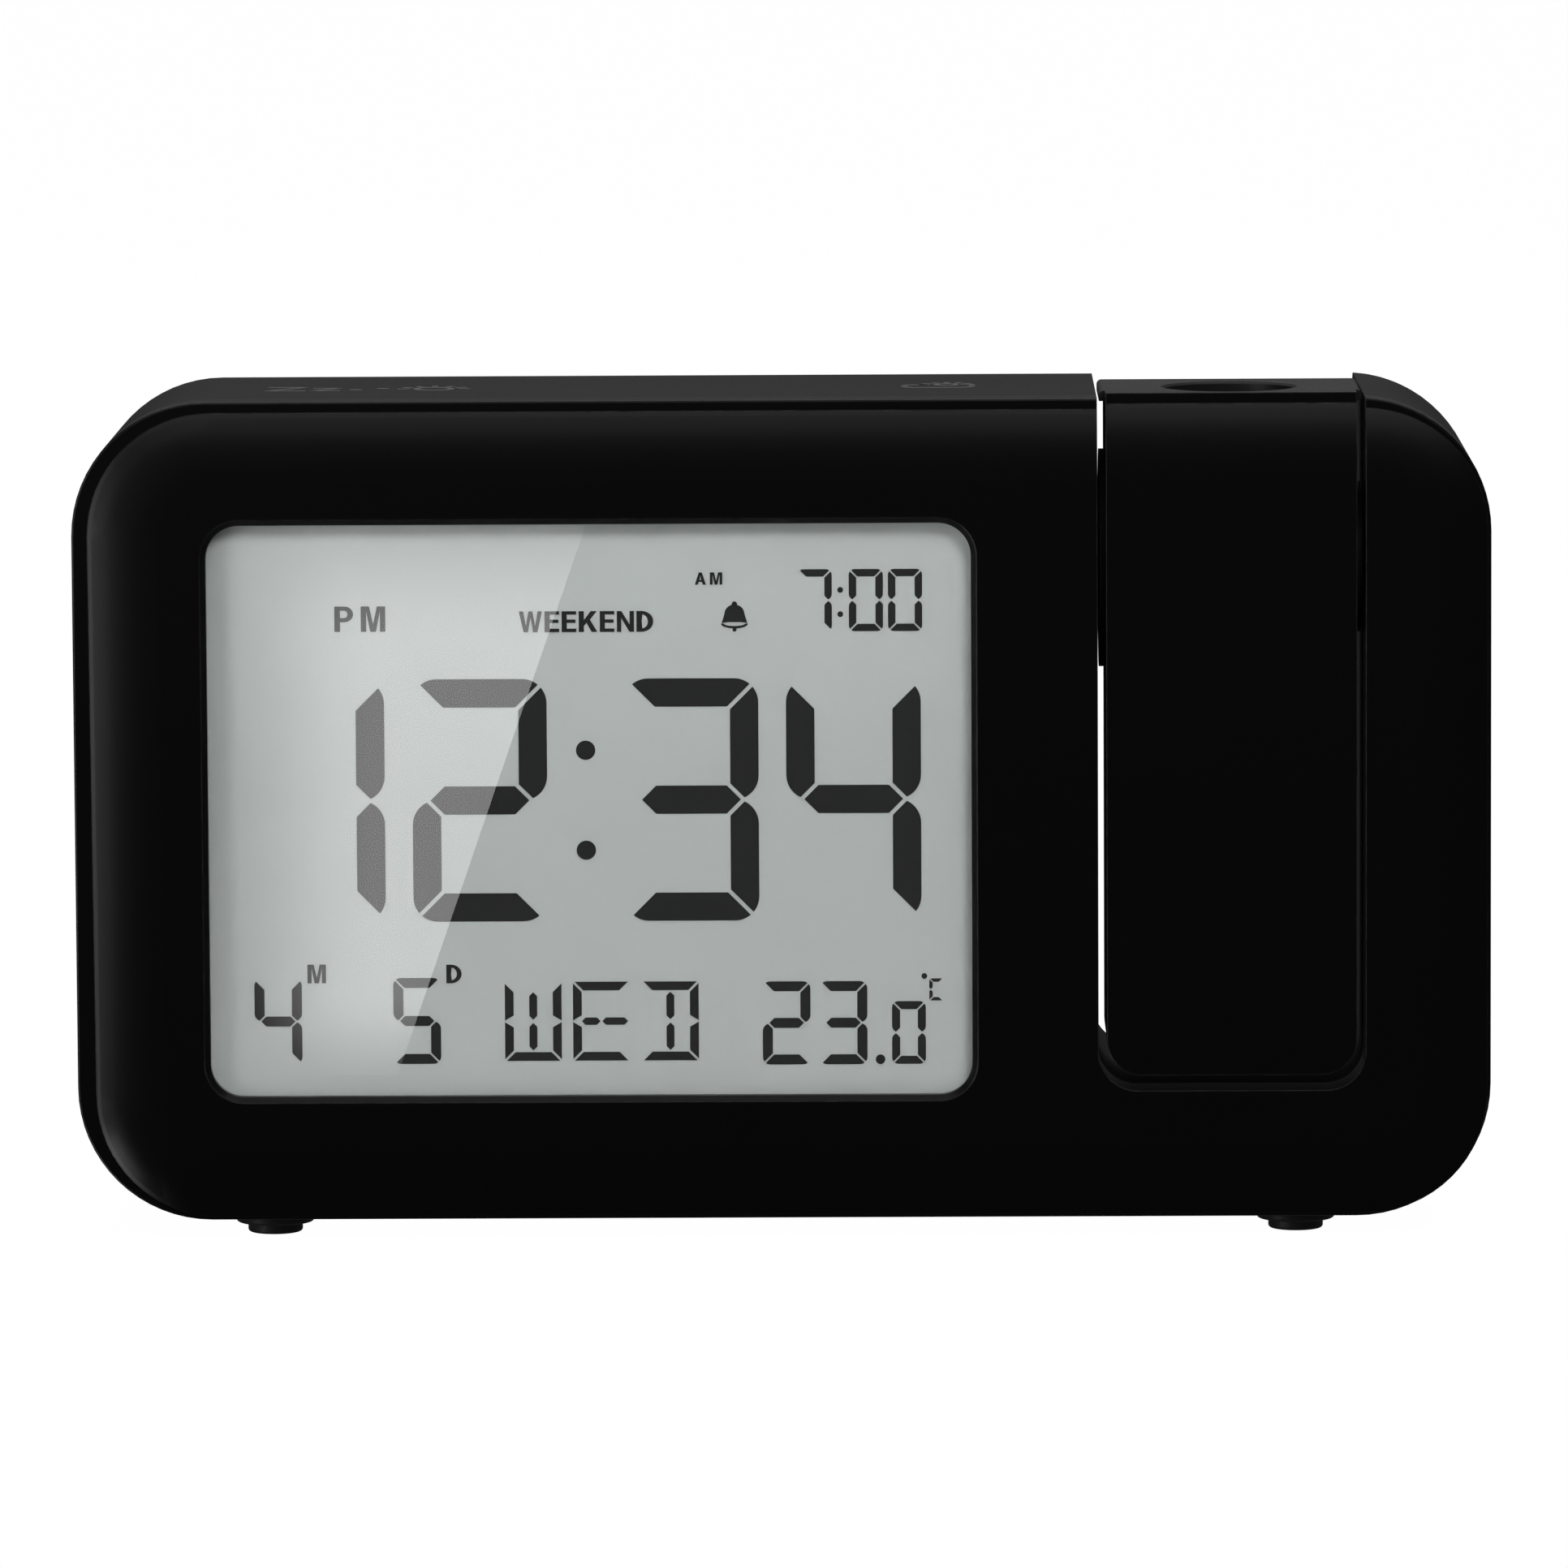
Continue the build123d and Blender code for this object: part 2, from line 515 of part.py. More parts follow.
# ================================================================ front bezel
with BuildPart() as front_bezel:
    with BuildSketch(front_plane(PARTING_Y)):
        case_outline()
    extrude(amount=PARTING_Y - RIM_Y)
    rim = front_bezel.faces().sort_by(Axis.Y)[0]
    fillet(rim.outer_wire().edges(), radius=RIM_EDGE_R)

    with BuildSketch(front_plane(RIM_Y)) as panel:
        with BuildLine():
            Polyline(*PANEL_CORNERS, close=True)
        make_face()
        fillet(panel.vertices(), radius=CASE_R - RIM_TOP)
    extrude(amount=RIM_Y - FRONT_Y)
    face = front_bezel.faces().sort_by(Axis.Y)[0]
    chamfer(face.outer_wire().edges(), length=CROWN_W, length2=CROWN_FALL, reference=face)
    face = front_bezel.faces().filter_by(Axis.Y).sort_by(Axis.Y)[0]
    fillet(face.outer_wire().edges(), radius=CROWN_R)

    # hollow behind the panel, and the lip that enters the housing
    with BuildSketch(front_plane(PARTING_Y)):
        case_outline(BEZEL_WALL)
        slot_outline(BEZEL_WALL)
    extrude(amount=PARTING_Y - FACE_BACK_Y, mode=Mode.SUBTRACT)
    with BuildSketch(front_plane(PARTING_Y + LIP_L)):
        case_outline(WALL + LIP_GAP)
        case_outline(BEZEL_WALL, mode=Mode.SUBTRACT)
        slot_outline(BEZEL_WALL)
    extrude(amount=LIP_L)

    # window, its bevel and the pocket for the display
    with BuildSketch(front_plane(FACE_BACK_Y)):
        with Locations((WIN_X, WIN_Z)):
            RectangleRounded(POCKET_W, POCKET_H, POCKET_R)
    extrude(amount=FACE_BACK_Y - POCKET_Y, mode=Mode.SUBTRACT)
    with BuildSketch(front_plane(FACE_BACK_Y)):
        with Locations((WIN_X, WIN_Z)):
            RectangleRounded(WIN_W - 2 * WIN_BEVEL, WIN_H - 2 * WIN_BEVEL, WIN_R - WIN_BEVEL)
    extrude(amount=FACE_T, mode=Mode.SUBTRACT)
    face = front_bezel.faces().filter_by(Axis.Y).sort_by(Axis.Y)[0]
    chamfer(face.inner_wires()[0].edges(), length=WIN_BEVEL)

    # slot for the arm
    with BuildSketch(front_plane(PARTING_Y + LIP_L)):
        slot_outline(mode=Mode.ADD)
    extrude(amount=PARTING_D + LIP_L, mode=Mode.SUBTRACT)

    # posts for the case screws and bosses for the board screws
    with BuildSketch(front_plane(POST_END_Y)):
        circles_at(POSTS, POST_R)
    extrude(amount=POST_END_Y - FACE_BACK_Y)
    with BuildSketch(front_plane(POST_END_Y)):
        circles_at(POSTS, POST_PILOT_R)
    extrude(amount=POST_PILOT_L, mode=Mode.SUBTRACT)
    with BuildSketch(front_plane(EAR_FRONT_Y)):
        circles_at(EARS, EAR_R - EAR_OVERLAP - 2 * FIT)
    extrude(amount=EAR_FRONT_Y - FACE_BACK_Y)
    with BuildSketch(front_plane(EAR_FRONT_Y)):
        circles_at(EARS, BOARD_PILOT_R)
    extrude(amount=EAR_FRONT_Y - FACE_BACK_Y, mode=Mode.SUBTRACT)
front_bezel.part.label = "front_bezel"
export_step(front_bezel.part, "parts/front_bezel.step")

# ================================================================ rear housing
with BuildPart() as rear_housing:
    with BuildSketch(front_plane(BACK_Y)):
        case_outline()
    extrude(amount=BACK_Y - PARTING_Y)
    back = rear_housing.faces().sort_by(Axis.Y)[-1]
    fillet(back.outer_wire().edges(), radius=REAR_EDGE_R)
    with BuildSketch(front_plane(REAR_WALL_Y)):
        case_outline(WALL)
        slot_outline(WALL)
    extrude(amount=REAR_WALL_Y - PARTING_Y, mode=Mode.SUBTRACT)

    # battery compartment
    with BuildSketch(front_plane(REAR_WALL_Y)):
        with Locations((BAY_X, BAY_Z)):
            Rectangle(BAY_W + 2 * BAY_WALL, BAY_H + 4 * BAY_WALL)
    extrude(amount=REAR_WALL_Y - BAY_FLOOR_Y + BAY_WALL)
    with BuildSketch(front_plane(BACK_Y)):
        with Locations((BAY_X, BAY_Z)):
            Rectangle(BAY_W, BAY_H)
    extrude(amount=BACK_Y - BAY_FLOOR_Y, mode=Mode.SUBTRACT)
    with BuildSketch(front_plane(BACK_Y)):
        with Locations((BAY_X, (BAY_LOW_Z + BAY_HIGH_Z + DOOR_LAP) / 2)):
            RectangleRounded(BAY_W + 2 * DOOR_LAP, BAY_H + DOOR_LAP, DOOR_R)
    extrude(amount=BACK_Y - LEDGE_Y, mode=Mode.SUBTRACT)
    with BuildSketch(front_plane(REAR_WALL_Y)):
        with Locations(*[(BAY_X + side * TAB_X, BAY_LOW_Z) for side in (-1, 1)]):
            Rectangle(TAB_W + 2 * DOOR_GAP, 2 * (TAB_REACH + TAB_CLEAR))
    extrude(amount=TAB_T + 2 * TAB_CLEAR, mode=Mode.SUBTRACT)

    # recessed key field with its key holes, and the field of the slide switch
    with BuildSketch(front_plane(BACK_Y)):
        with Locations((KEY_X, KEY_Z)):
            RectangleRounded(FIELD_W, FIELD_H, FIELD_R)
        with Locations((SLIDE_X, SLIDE_ROW_Z)):
            RectangleRounded(SWITCH_FIELD_W, SWITCH_FIELD_H, SWITCH_FIELD_H / 2 - STACK_GAP)
    extrude(amount=FIELD_D, mode=Mode.SUBTRACT)
    with BuildSketch(front_plane(BACK_Y)):
        with Locations(*KEYS.values()):
            SlotOverall(KEY_W + 2 * KEY_GAP, KEY_H + 2 * KEY_GAP)
        with Locations((SLIDE_X, SLIDE_ROW_Z)):
            Rectangle(KNOB_W + SLIDE_TRAVEL + 2 * KNOB_GAP, KNOB_H + 2 * KNOB_GAP)
    extrude(amount=WALL, mode=Mode.SUBTRACT)

    # posts for the key board, between the keys
    with BuildSketch(front_plane(REAR_WALL_Y)):
        circles_at(KEY_POSTS, EAR_R)
    extrude(amount=REAR_WALL_Y - KEY_BOARD_Y)
    with BuildSketch(front_plane(KEY_BOARD_Y)):
        circles_at(KEY_POSTS, BOARD_PILOT_R)
    extrude(amount=-BOARD_SCREW_L, mode=Mode.SUBTRACT)

    # speaker ring and grille
    with BuildSketch(front_plane(REAR_WALL_Y)):
        with Locations((SPEAKER_X, SPEAKER_Z)):
            Circle(SPEAKER_R + FIT + SPEAKER_RIB_T)
            Circle(SPEAKER_R + FIT, mode=Mode.SUBTRACT)
    extrude(amount=SPEAKER_RIB_L)
    with BuildSketch(front_plane(BACK_Y)):
        for row in range(GRILLE_SLOTS):
            rise = (row - (GRILLE_SLOTS - 1) / 2) * GRILLE_PITCH
            half = (GRILLE_R**2 - rise**2) ** 0.5
            with Locations((SPEAKER_X, SPEAKER_Z + rise)):
                SlotOverall(2 * half, GRILLE_SLOT_H)
    extrude(amount=WALL, mode=Mode.SUBTRACT)

    # socket for the power inlet, and vents beside the temperature sensor
    with BuildSketch(front_plane(REAR_WALL_Y)):
        with Locations((JACK_X, JACK_Z)):
            Rectangle(JACK_W + 2 * (FIT + JACK_RIB_T), JACK_H + 2 * (FIT + JACK_RIB_T))
            Rectangle(JACK_W + 2 * FIT, JACK_H + 2 * FIT, mode=Mode.SUBTRACT)
    extrude(amount=JACK_L - JACK_RIB_T)
    with BuildSketch(front_plane(BACK_Y)):
        with Locations((JACK_X, JACK_Z)):
            Circle(JACK_NOSE_R + FIT)
        with Locations((VENT_X, VENT_Z)):
            with GridLocations(0, VENT_PITCH, 1, VENT_SLOTS):
                SlotOverall(VENT_L, VENT_H)
    extrude(amount=WALL, mode=Mode.SUBTRACT)
    with BuildSketch(front_plane(REAR_WALL_Y)):
        with Locations((VENT_X, VENT_Z + VENT_SLOTS * VENT_PITCH / 2 + SENSOR_R)):
            Rectangle(SENSOR_L, 2 * (SENSOR_R + JACK_RIB_T))
            Rectangle(SENSOR_L, 2 * (SENSOR_R + FIT), mode=Mode.SUBTRACT)
    extrude(amount=2 * SENSOR_R)

    # screw bosses
    with BuildSketch(front_plane(REAR_WALL_Y)):
        circles_at(POSTS, BOSS_R)
    extrude(amount=BOSS_L)
    with BuildSketch(front_plane(BACK_Y)):
        circles_at(POSTS, SCREW_R + SCREW_CLEAR)
    extrude(amount=WALL + BOSS_L, mode=Mode.SUBTRACT)
    with BuildSketch(front_plane(BACK_Y)):
        circles_at(POSTS, SCREW_HEAD_R + SCREW_CLEAR)
    extrude(amount=SCREW_SINK, mode=Mode.SUBTRACT)

    # bearing collars and bores for the trunnions
    with BuildSketch(side_plane(SLOT_LEFT - WALL)):
        with Locations((PIVOT_Y, PIVOT_Z)):
            Circle(SHAFT_R + BEARING_GAP + COLLAR_WALL)
    extrude(amount=-COLLAR_L)
    with BuildSketch(side_plane(SLOT_RIGHT + WALL)):
        with Locations((PIVOT_Y, PIVOT_Z)):
            Circle(SHAFT_R + BEARING_GAP + COLLAR_WALL)
    extrude(amount=COLLAR_L)
    with BuildSketch(front_plane(BACK_Y)):
        slot_outline(mode=Mode.ADD)
    extrude(amount=CASE_D, mode=Mode.SUBTRACT)
    with BuildSketch(side_plane(SLOT_LEFT - WALL - COLLAR_L)):
        with Locations((PIVOT_Y, PIVOT_Z)):
            Circle(SHAFT_R + BEARING_GAP)
    extrude(amount=SLOT_W + 2 * (WALL + COLLAR_L), mode=Mode.SUBTRACT)

    # peg holes for the feet
    with BuildSketch(level(CASE_BASE_Z)):
        with GridLocations(2 * FOOT_X, 2 * FOOT_Y, 2, 2):
            Circle(FOOT_PEG_R + SEAT_GAP)
    extrude(amount=WALL, mode=Mode.SUBTRACT)
rear_housing.part.label = "rear_housing"
export_step(rear_housing.part, "parts/rear_housing.step")

# ================================================================ display
with BuildPart() as display_window:
    with BuildSketch(front_plane(POCKET_Y + WINDOW_T)):
        with Locations((WIN_X, WIN_Z)):
            RectangleRounded(HOLDER_W, HOLDER_H, POCKET_R - FIT)
    extrude(amount=WINDOW_T)
display_window.part.label = "display_window"
export_step(display_window.part, "parts/display_window.step")

with BuildPart() as lcd_panel:
    with BuildSketch(front_plane(LCD_Y + LCD_GLASS_T)):
        with Locations((WIN_X, WIN_Z)):
            Rectangle(LCD_W, LCD_H)
    extrude(amount=LCD_GLASS_T)
    with BuildSketch(front_plane(LCD_Y + LCD_T)):
        with Locations((WIN_X, WIN_Z + LCD_LEDGE / 2)):
            Rectangle(LCD_W, LCD_H - LCD_LEDGE)
    extrude(amount=LCD_GLASS_T)
lcd_panel.part.label = "lcd_panel"
export_step(lcd_panel.part, "parts/lcd_panel.step")

with BuildPart() as lcd_backlight:
    with BuildSketch(front_plane(BACKLIGHT_Y + BACKLIGHT_T)):
        with Locations((WIN_X, WIN_Z + LCD_LEDGE / 2)):
            Rectangle(LCD_W, LCD_H - LCD_LEDGE - FIT)
    extrude(amount=BACKLIGHT_T)
    chamfer(lcd_backlight.faces().sort_by(Axis.Y)[-1].edges(), length=BACKLIGHT_T / 4)
lcd_backlight.part.label = "lcd_backlight"
export_step(lcd_backlight.part, "parts/lcd_backlight.step")

with BuildPart() as lcd_connector:
    with BuildSketch(front_plane(HOLDER_BACK_Y)):
        with Locations((WIN_X, WIN_Z - LCD_H / 2 + LCD_LEDGE / 2)):
            Rectangle(LCD_W - 2 * HOLDER_SHELF, ZEBRA_T)
    extrude(amount=HOLDER_BACK_Y - LCD_Y - LCD_GLASS_T)
lcd_connector.part.label = "lcd_connector"
export_step(lcd_connector.part, "parts/lcd_connector.step")

with BuildPart() as lcd_holder:
    with BuildSketch(front_plane(HOLDER_BACK_Y)):
        with Locations((WIN_X, WIN_Z)):
            RectangleRounded(HOLDER_W, HOLDER_H, POCKET_R - FIT)
    extrude(amount=HOLDER_BACK_Y - LCD_Y)
    with BuildSketch(front_plane(HOLDER_BACK_Y)):
        circles_at(EARS, EAR_R)
    extrude(amount=EAR_T)
    with BuildSketch(front_plane(BACKLIGHT_Y + BACKLIGHT_T + STACK_GAP)):
        with Locations((WIN_X, WIN_Z)):
            Rectangle(LCD_W + 2 * FIT, LCD_H + 2 * FIT)
    extrude(amount=BACKLIGHT_T + LCD_T + 2 * STACK_GAP, mode=Mode.SUBTRACT)
    with BuildSketch(front_plane(HOLDER_BACK_Y)):
        with Locations((WIN_X, WIN_Z + LCD_LEDGE)):
            Rectangle(LCD_W - 2 * HOLDER_SHELF, LCD_H - 2 * HOLDER_SHELF - LCD_LEDGE)
        with Locations((WIN_X, WIN_Z - LCD_H / 2 + LCD_LEDGE / 2)):
            Rectangle(LCD_W - 2 * HOLDER_SHELF + FIT, ZEBRA_T + FIT)
    extrude(amount=HOLDER_BACK_T, mode=Mode.SUBTRACT)
    with BuildSketch(front_plane(HOLDER_BACK_Y)):
        circles_at(EARS, BOARD_HOLE_R)
    extrude(amount=EAR_T, mode=Mode.SUBTRACT)
lcd_holder.part.label = "lcd_holder"
export_step(lcd_holder.part, "parts/lcd_holder.step")

with BuildPart() as main_board:
    with BuildSketch(front_plane(BOARD_BACK_Y)):
        with Locations((WIN_X, WIN_Z)):
            RectangleRounded(BOARD_W, BOARD_H, EAR_R)
        with Locations(*EARS):
            Circle(BOARD_HOLE_R, mode=Mode.SUBTRACT)
    extrude(amount=BOARD_T)
main_board.part.label = "main_board"
export_step(main_board.part, "parts/main_board.step")

with BuildPart() as board_components:
    with BuildSketch(front_plane(BOARD_BACK_Y)):
        with Locations((WIN_X, WIN_Z)):
            Circle(BLOB_R)
    extrude(amount=-BLOB_T)
    fillet(board_components.faces().sort_by(Axis.Y)[-1].edges(), radius=BLOB_T / 2)
    with BuildSketch(front_plane(BOARD_BACK_Y)):
        with Locations((WIN_X + BOARD_W / 4, WIN_Z + BOARD_H / 4), (WIN_X + BOARD_W / 4, WIN_Z)):
            Rectangle(2 * SOCKET_H, SOCKET_H)
    extrude(amount=-CHIP_T)
    with BuildSketch(front_plane(BOARD_BACK_Y)):
        with Locations((WIN_X - BOARD_W / 4, WIN_Z + BOARD_H / 4)):
            Circle(CAP_CAN_R)
        with Locations((WIN_X - BOARD_W / 4 + 3 * CAP_CAN_R, WIN_Z + BOARD_H / 4)):
            Circle(CAP_CAN_R)
    extrude(amount=-CAP_CAN_L)
    with BuildSketch(front_plane(BOARD_BACK_Y)):
        with Locations((WIN_X + BOARD_W / 4, WIN_Z - BOARD_H / 4), (WIN_X, WIN_Z + BOARD_H / 3)):
            Rectangle(SOCKET_W, SOCKET_H)
    extrude(amount=-SOCKET_T)
board_components.part.label = "board_components"
export_step(board_components.part, "parts/board_components.step")

with BuildPart() as board_screws:
    with BuildSketch(front_plane(BOARD_BACK_Y)):
        circles_at(EARS, BOARD_PILOT_R - SEAT_GAP)
    extrude(amount=BOARD_SCREW_L)
    with BuildSketch(front_plane(BOARD_BACK_Y)):
        circles_at(EARS, BOARD_SCREW_HEAD_R)
    extrude(amount=-BOARD_SCREW_HEAD_T)
    with BuildSketch(front_plane(KEY_BOARD_FRONT_Y)):
        circles_at(KEY_POSTS, BOARD_PILOT_R - SEAT_GAP)
    extrude(amount=-BOARD_SCREW_L)
    with BuildSketch(front_plane(KEY_BOARD_FRONT_Y)):
        circles_at(KEY_POSTS, BOARD_SCREW_HEAD_R)
    extrude(amount=BOARD_SCREW_HEAD_T)
board_screws.part.label = "board_screws"
export_step(board_screws.part, "parts/board_screws.step")

# ================================================================ keys and slide switch
for key_name, place in KEYS.items():
    with BuildPart() as key:
        with BuildSketch(front_plane(KEY_BACK_Y)):
            with Locations(place):
                SlotOverall(KEY_W + 2 * KEY_FLANGE, KEY_H + 2 * KEY_FLANGE)
        extrude(amount=KEY_FLANGE_T)
        with BuildSketch(front_plane(BACK_Y - KEY_GAP)):
            with Locations(place):
                SlotOverall(KEY_W, KEY_H)
        extrude(amount=BACK_Y - KEY_GAP - KEY_BACK_Y)
        fillet(key.faces().sort_by(Axis.Y)[-1].edges(), radius=KEY_CROWN_R)
    key.part.label = key_name
    export_step(key.part, f"parts/{key_name}.step")

with BuildPart() as key_board:
    with BuildSketch(front_plane(KEY_BOARD_Y)):
        with Locations((KEY_X, KEY_Z)):
            RectangleRounded(FIELD_W, FIELD_H, EAR_R)
        # the part below the keys carries the slide switch
        with Locations((SLIDE_X, KEY_TAB_LOW_Z + KEY_TAB_H / 2)):
            RectangleRounded(SWITCH_FIELD_W, KEY_TAB_H, EAR_R)
        with Locations(*KEY_POSTS):
            Circle(BOARD_HOLE_R, mode=Mode.SUBTRACT)
    extrude(amount=BOARD_T)
key_board.part.label = "key_board"
export_step(key_board.part, "parts/key_board.step")

with BuildPart() as tact_switches:
    with BuildSketch(front_plane(KEY_BOARD_Y)):
        with Locations(*KEYS.values()):
            Rectangle(TACT_W, TACT_W)
    extrude(amount=-TACT_T)
    with BuildSketch(front_plane(TACT_Y)):
        circles_at(KEYS.values(), TACT_PLUNGER_R)
    extrude(amount=-TACT_PLUNGER_L)
tact_switches.part.label = "tact_switches"
export_step(tact_switches.part, "parts/tact_switches.step")

with BuildPart() as slide_switch:
    with BuildSketch(front_plane(KEY_BOARD_Y)):
        with Locations((SLIDE_X, SLIDE_ROW_Z)):
            Rectangle(SWITCH_W, SWITCH_H)
    extrude(amount=-(KEY_BACK_Y - KNOB_PLATE_T - STACK_GAP - KEY_BOARD_Y))
slide_switch.part.label = "slide_switch"
export_step(slide_switch.part, "parts/slide_switch.step")

with BuildPart() as slide_knob:
    with BuildSketch(front_plane(KEY_BACK_Y)):
        with Locations((KNOB_REST_X, SLIDE_ROW_Z)):
            Rectangle(KNOB_PLATE_W, KNOB_H + 2 * KEY_FLANGE)
    extrude(amount=KNOB_PLATE_T)
    with BuildSketch(front_plane(BACK_Y - KEY_GAP)):
        with Locations((KNOB_REST_X, SLIDE_ROW_Z)):
            Rectangle(KNOB_W, KNOB_H)
    extrude(amount=BACK_Y - KEY_GAP - KEY_BACK_Y)
    with BuildSketch(front_plane(BACK_Y - KEY_GAP)):
        with Locations((KNOB_REST_X, SLIDE_ROW_Z)):
            with GridLocations(KNOB_W / KNOB_RIBS, 0, KNOB_RIBS, 1):
                Rectangle(KNOB_W / KNOB_RIBS / 2, KNOB_H)
    extrude(amount=KNOB_GAP, mode=Mode.SUBTRACT)
slide_knob.part.label = "slide_knob"
export_step(slide_knob.part, "parts/slide_knob.step")

# ================================================================ power inlet, speaker, sensor
with BuildPart() as power_inlet:
    with BuildSketch(front_plane(REAR_WALL_Y - STACK_GAP)):
        with Locations((JACK_X, JACK_Z)):
            Rectangle(JACK_W, JACK_H)
    extrude(amount=JACK_L)
    with BuildSketch(front_plane(BACK_Y - KEY_GAP)):
        with Locations((JACK_X, JACK_Z)):
            Circle(JACK_NOSE_R)
    extrude(amount=BACK_Y - KEY_GAP - REAR_WALL_Y + STACK_GAP)
    with BuildSketch(front_plane(BACK_Y - KEY_GAP)):
        with Locations((JACK_X, JACK_Z)):
            Circle(JACK_BORE_R)
            Circle(JACK_PIN_R, mode=Mode.SUBTRACT)
    extrude(amount=JACK_BORE_L, mode=Mode.SUBTRACT)
power_inlet.part.label = "power_inlet"
export_step(power_inlet.part, "parts/power_inlet.step")

with BuildPart() as speaker:
    with BuildSketch(front_plane(SPEAKER_Y)):
        with Locations((SPEAKER_X, SPEAKER_Z)):
            Circle(SPEAKER_R)
    extrude(amount=SPEAKER_T / 2)
    with BuildSketch(front_plane(SPEAKER_Y - SPEAKER_T / 2)):
        with Locations((SPEAKER_X, SPEAKER_Z)):
            Circle(MAGNET_R)
    extrude(amount=SPEAKER_T / 2)
    with BuildSketch(front_plane(SPEAKER_Y)):
        with Locations((SPEAKER_X, SPEAKER_Z)):
            Circle(SPEAKER_R - SPEAKER_RIB_T)
    extrude(amount=SPEAKER_T / 3, taper=CONE_ANGLE, mode=Mode.SUBTRACT)
speaker.part.label = "speaker"
export_step(speaker.part, "parts/speaker.step")

with BuildPart() as speaker_bracket:
    with BuildSketch(front_plane(BRACKET_Y)):
        with Locations((SPEAKER_X, SPEAKER_Z)):
            Circle(SPEAKER_R + FIT + SPEAKER_RIB_T)
            SlotOverall(2 * BRACKET_X, 2 * BRACKET_EAR, rotation=90)
            Circle(MAGNET_R + FIT, mode=Mode.SUBTRACT)
    extrude(amount=BRACKET_T)
speaker_bracket.part.label = "speaker_bracket"
export_step(speaker_bracket.part, "parts/speaker_bracket.step")

with BuildPart() as temperature_sensor:
    with BuildSketch(side_plane(VENT_X - SENSOR_L)):
        with Locations((REAR_WALL_Y - SENSOR_R - STACK_GAP,
                        VENT_Z + VENT_SLOTS * VENT_PITCH / 2 + SENSOR_R)):
            Circle(SENSOR_R)
    extrude(amount=2 * SENSOR_L)
    fillet(temperature_sensor.faces().sort_by(Axis.X)[-1].edges(), radius=SENSOR_R / 2)
temperature_sensor.part.label = "temperature_sensor"
export_step(temperature_sensor.part, "parts/temperature_sensor.step")

TOUCH_PLATES = {"snooze_touch_plate": (SNOOZE_X, SNOOZE_W), "light_touch_plate": (LIGHT_X, LIGHT_W)}
for plate_name, (plate_x, plate_w) in TOUCH_PLATES.items():
    with BuildPart() as touch_plate:
        with BuildSketch(level(CASE_TOP_Z - WALL - STACK_GAP)):
            with Locations((plate_x, TOUCH_Y)):
                RectangleRounded(plate_w, TOUCH_D, EAR_R)
        extrude(amount=-TOUCH_T)
    touch_plate.part.label = plate_name
    export_step(touch_plate.part, f"parts/{plate_name}.step")

# ================================================================ battery compartment
with BuildPart() as battery_door:
    with BuildSketch(front_plane(DOOR_FACE_Y)):
        with Locations((BAY_X, (DOOR_LOW_Z + DOOR_HIGH_Z) / 2)):
            RectangleRounded(DOOR_W, DOOR_HIGH_Z - DOOR_LOW_Z, DOOR_R - DOOR_GAP)
    extrude(amount=DOOR_T)
    # hooks that reach behind the lower ledge
    with BuildSketch(front_plane(DOOR_BACK_Y)):
        with Locations(*[(BAY_X + side * TAB_X, DOOR_LOW_Z + TAB_T / 2) for side in (-1, 1)]):
            Rectangle(TAB_W, TAB_T)
    extrude(amount=DOOR_BACK_Y - REAR_WALL_Y + TAB_CLEAR + TAB_T)
    with BuildSketch(front_plane(REAR_WALL_Y - TAB_CLEAR)):
        with Locations(*[(BAY_X + side * TAB_X, BAY_LOW_Z + (TAB_T - TAB_REACH) / 2)
                         for side in (-1, 1)]):
            Rectangle(TAB_W, TAB_REACH + TAB_T)
    extrude(amount=TAB_T)
    # finger recess with ribs at the upper edge
    with BuildSketch(front_plane(DOOR_FACE_Y)):
        with Locations((BAY_X, DOOR_HIGH_Z - GRIP_H)):
            SlotOverall(GRIP_W, GRIP_H)
            with GridLocations(0, GRIP_H / GRIP_RIBS, 1, GRIP_RIBS - 1):
                Rectangle(GRIP_W / 2, GRIP_H / GRIP_RIBS / 3, mode=Mode.SUBTRACT)
    extrude(amount=DOOR_T / 2, mode=Mode.SUBTRACT)
battery_door.part.label = "battery_door"
export_step(battery_door.part, "parts/battery_door.step")

with BuildPart() as battery_cells:
    for row_z, way in CELL_ENDS:
        middle = BAY_X + way * CELL_SHIFT
        with BuildSketch(side_plane(middle - CELL_L / 2)):
            with Locations((CELL_Y, row_z)):
                Circle(CELL_R)
        extrude(amount=CELL_L)
        with BuildSketch(side_plane(middle + way * CELL_L / 2)):
            with Locations((CELL_Y, row_z)):
                Circle(CELL_NUB_R)
        extrude(amount=way * CELL_NUB_L)
battery_cells.part.label = "battery_cells"
export_step(battery_cells.part, "parts/battery_cells.step")

with BuildPart() as battery_plates:
    for row_z, way in CELL_ENDS:
        with BuildSketch(side_plane(BAY_X + way * (BAY_W / 2 - FIT - CONTACT_T))):
            with Locations((CELL_Y, row_z)):
                Rectangle(2 * CELL_R - 2 * CELL_GAP, 2 * CELL_R - 2 * CELL_GAP)
        extrude(amount=way * CONTACT_T)
battery_plates.part.label = "battery_plates"
export_step(battery_plates.part, "parts/battery_plates.step")

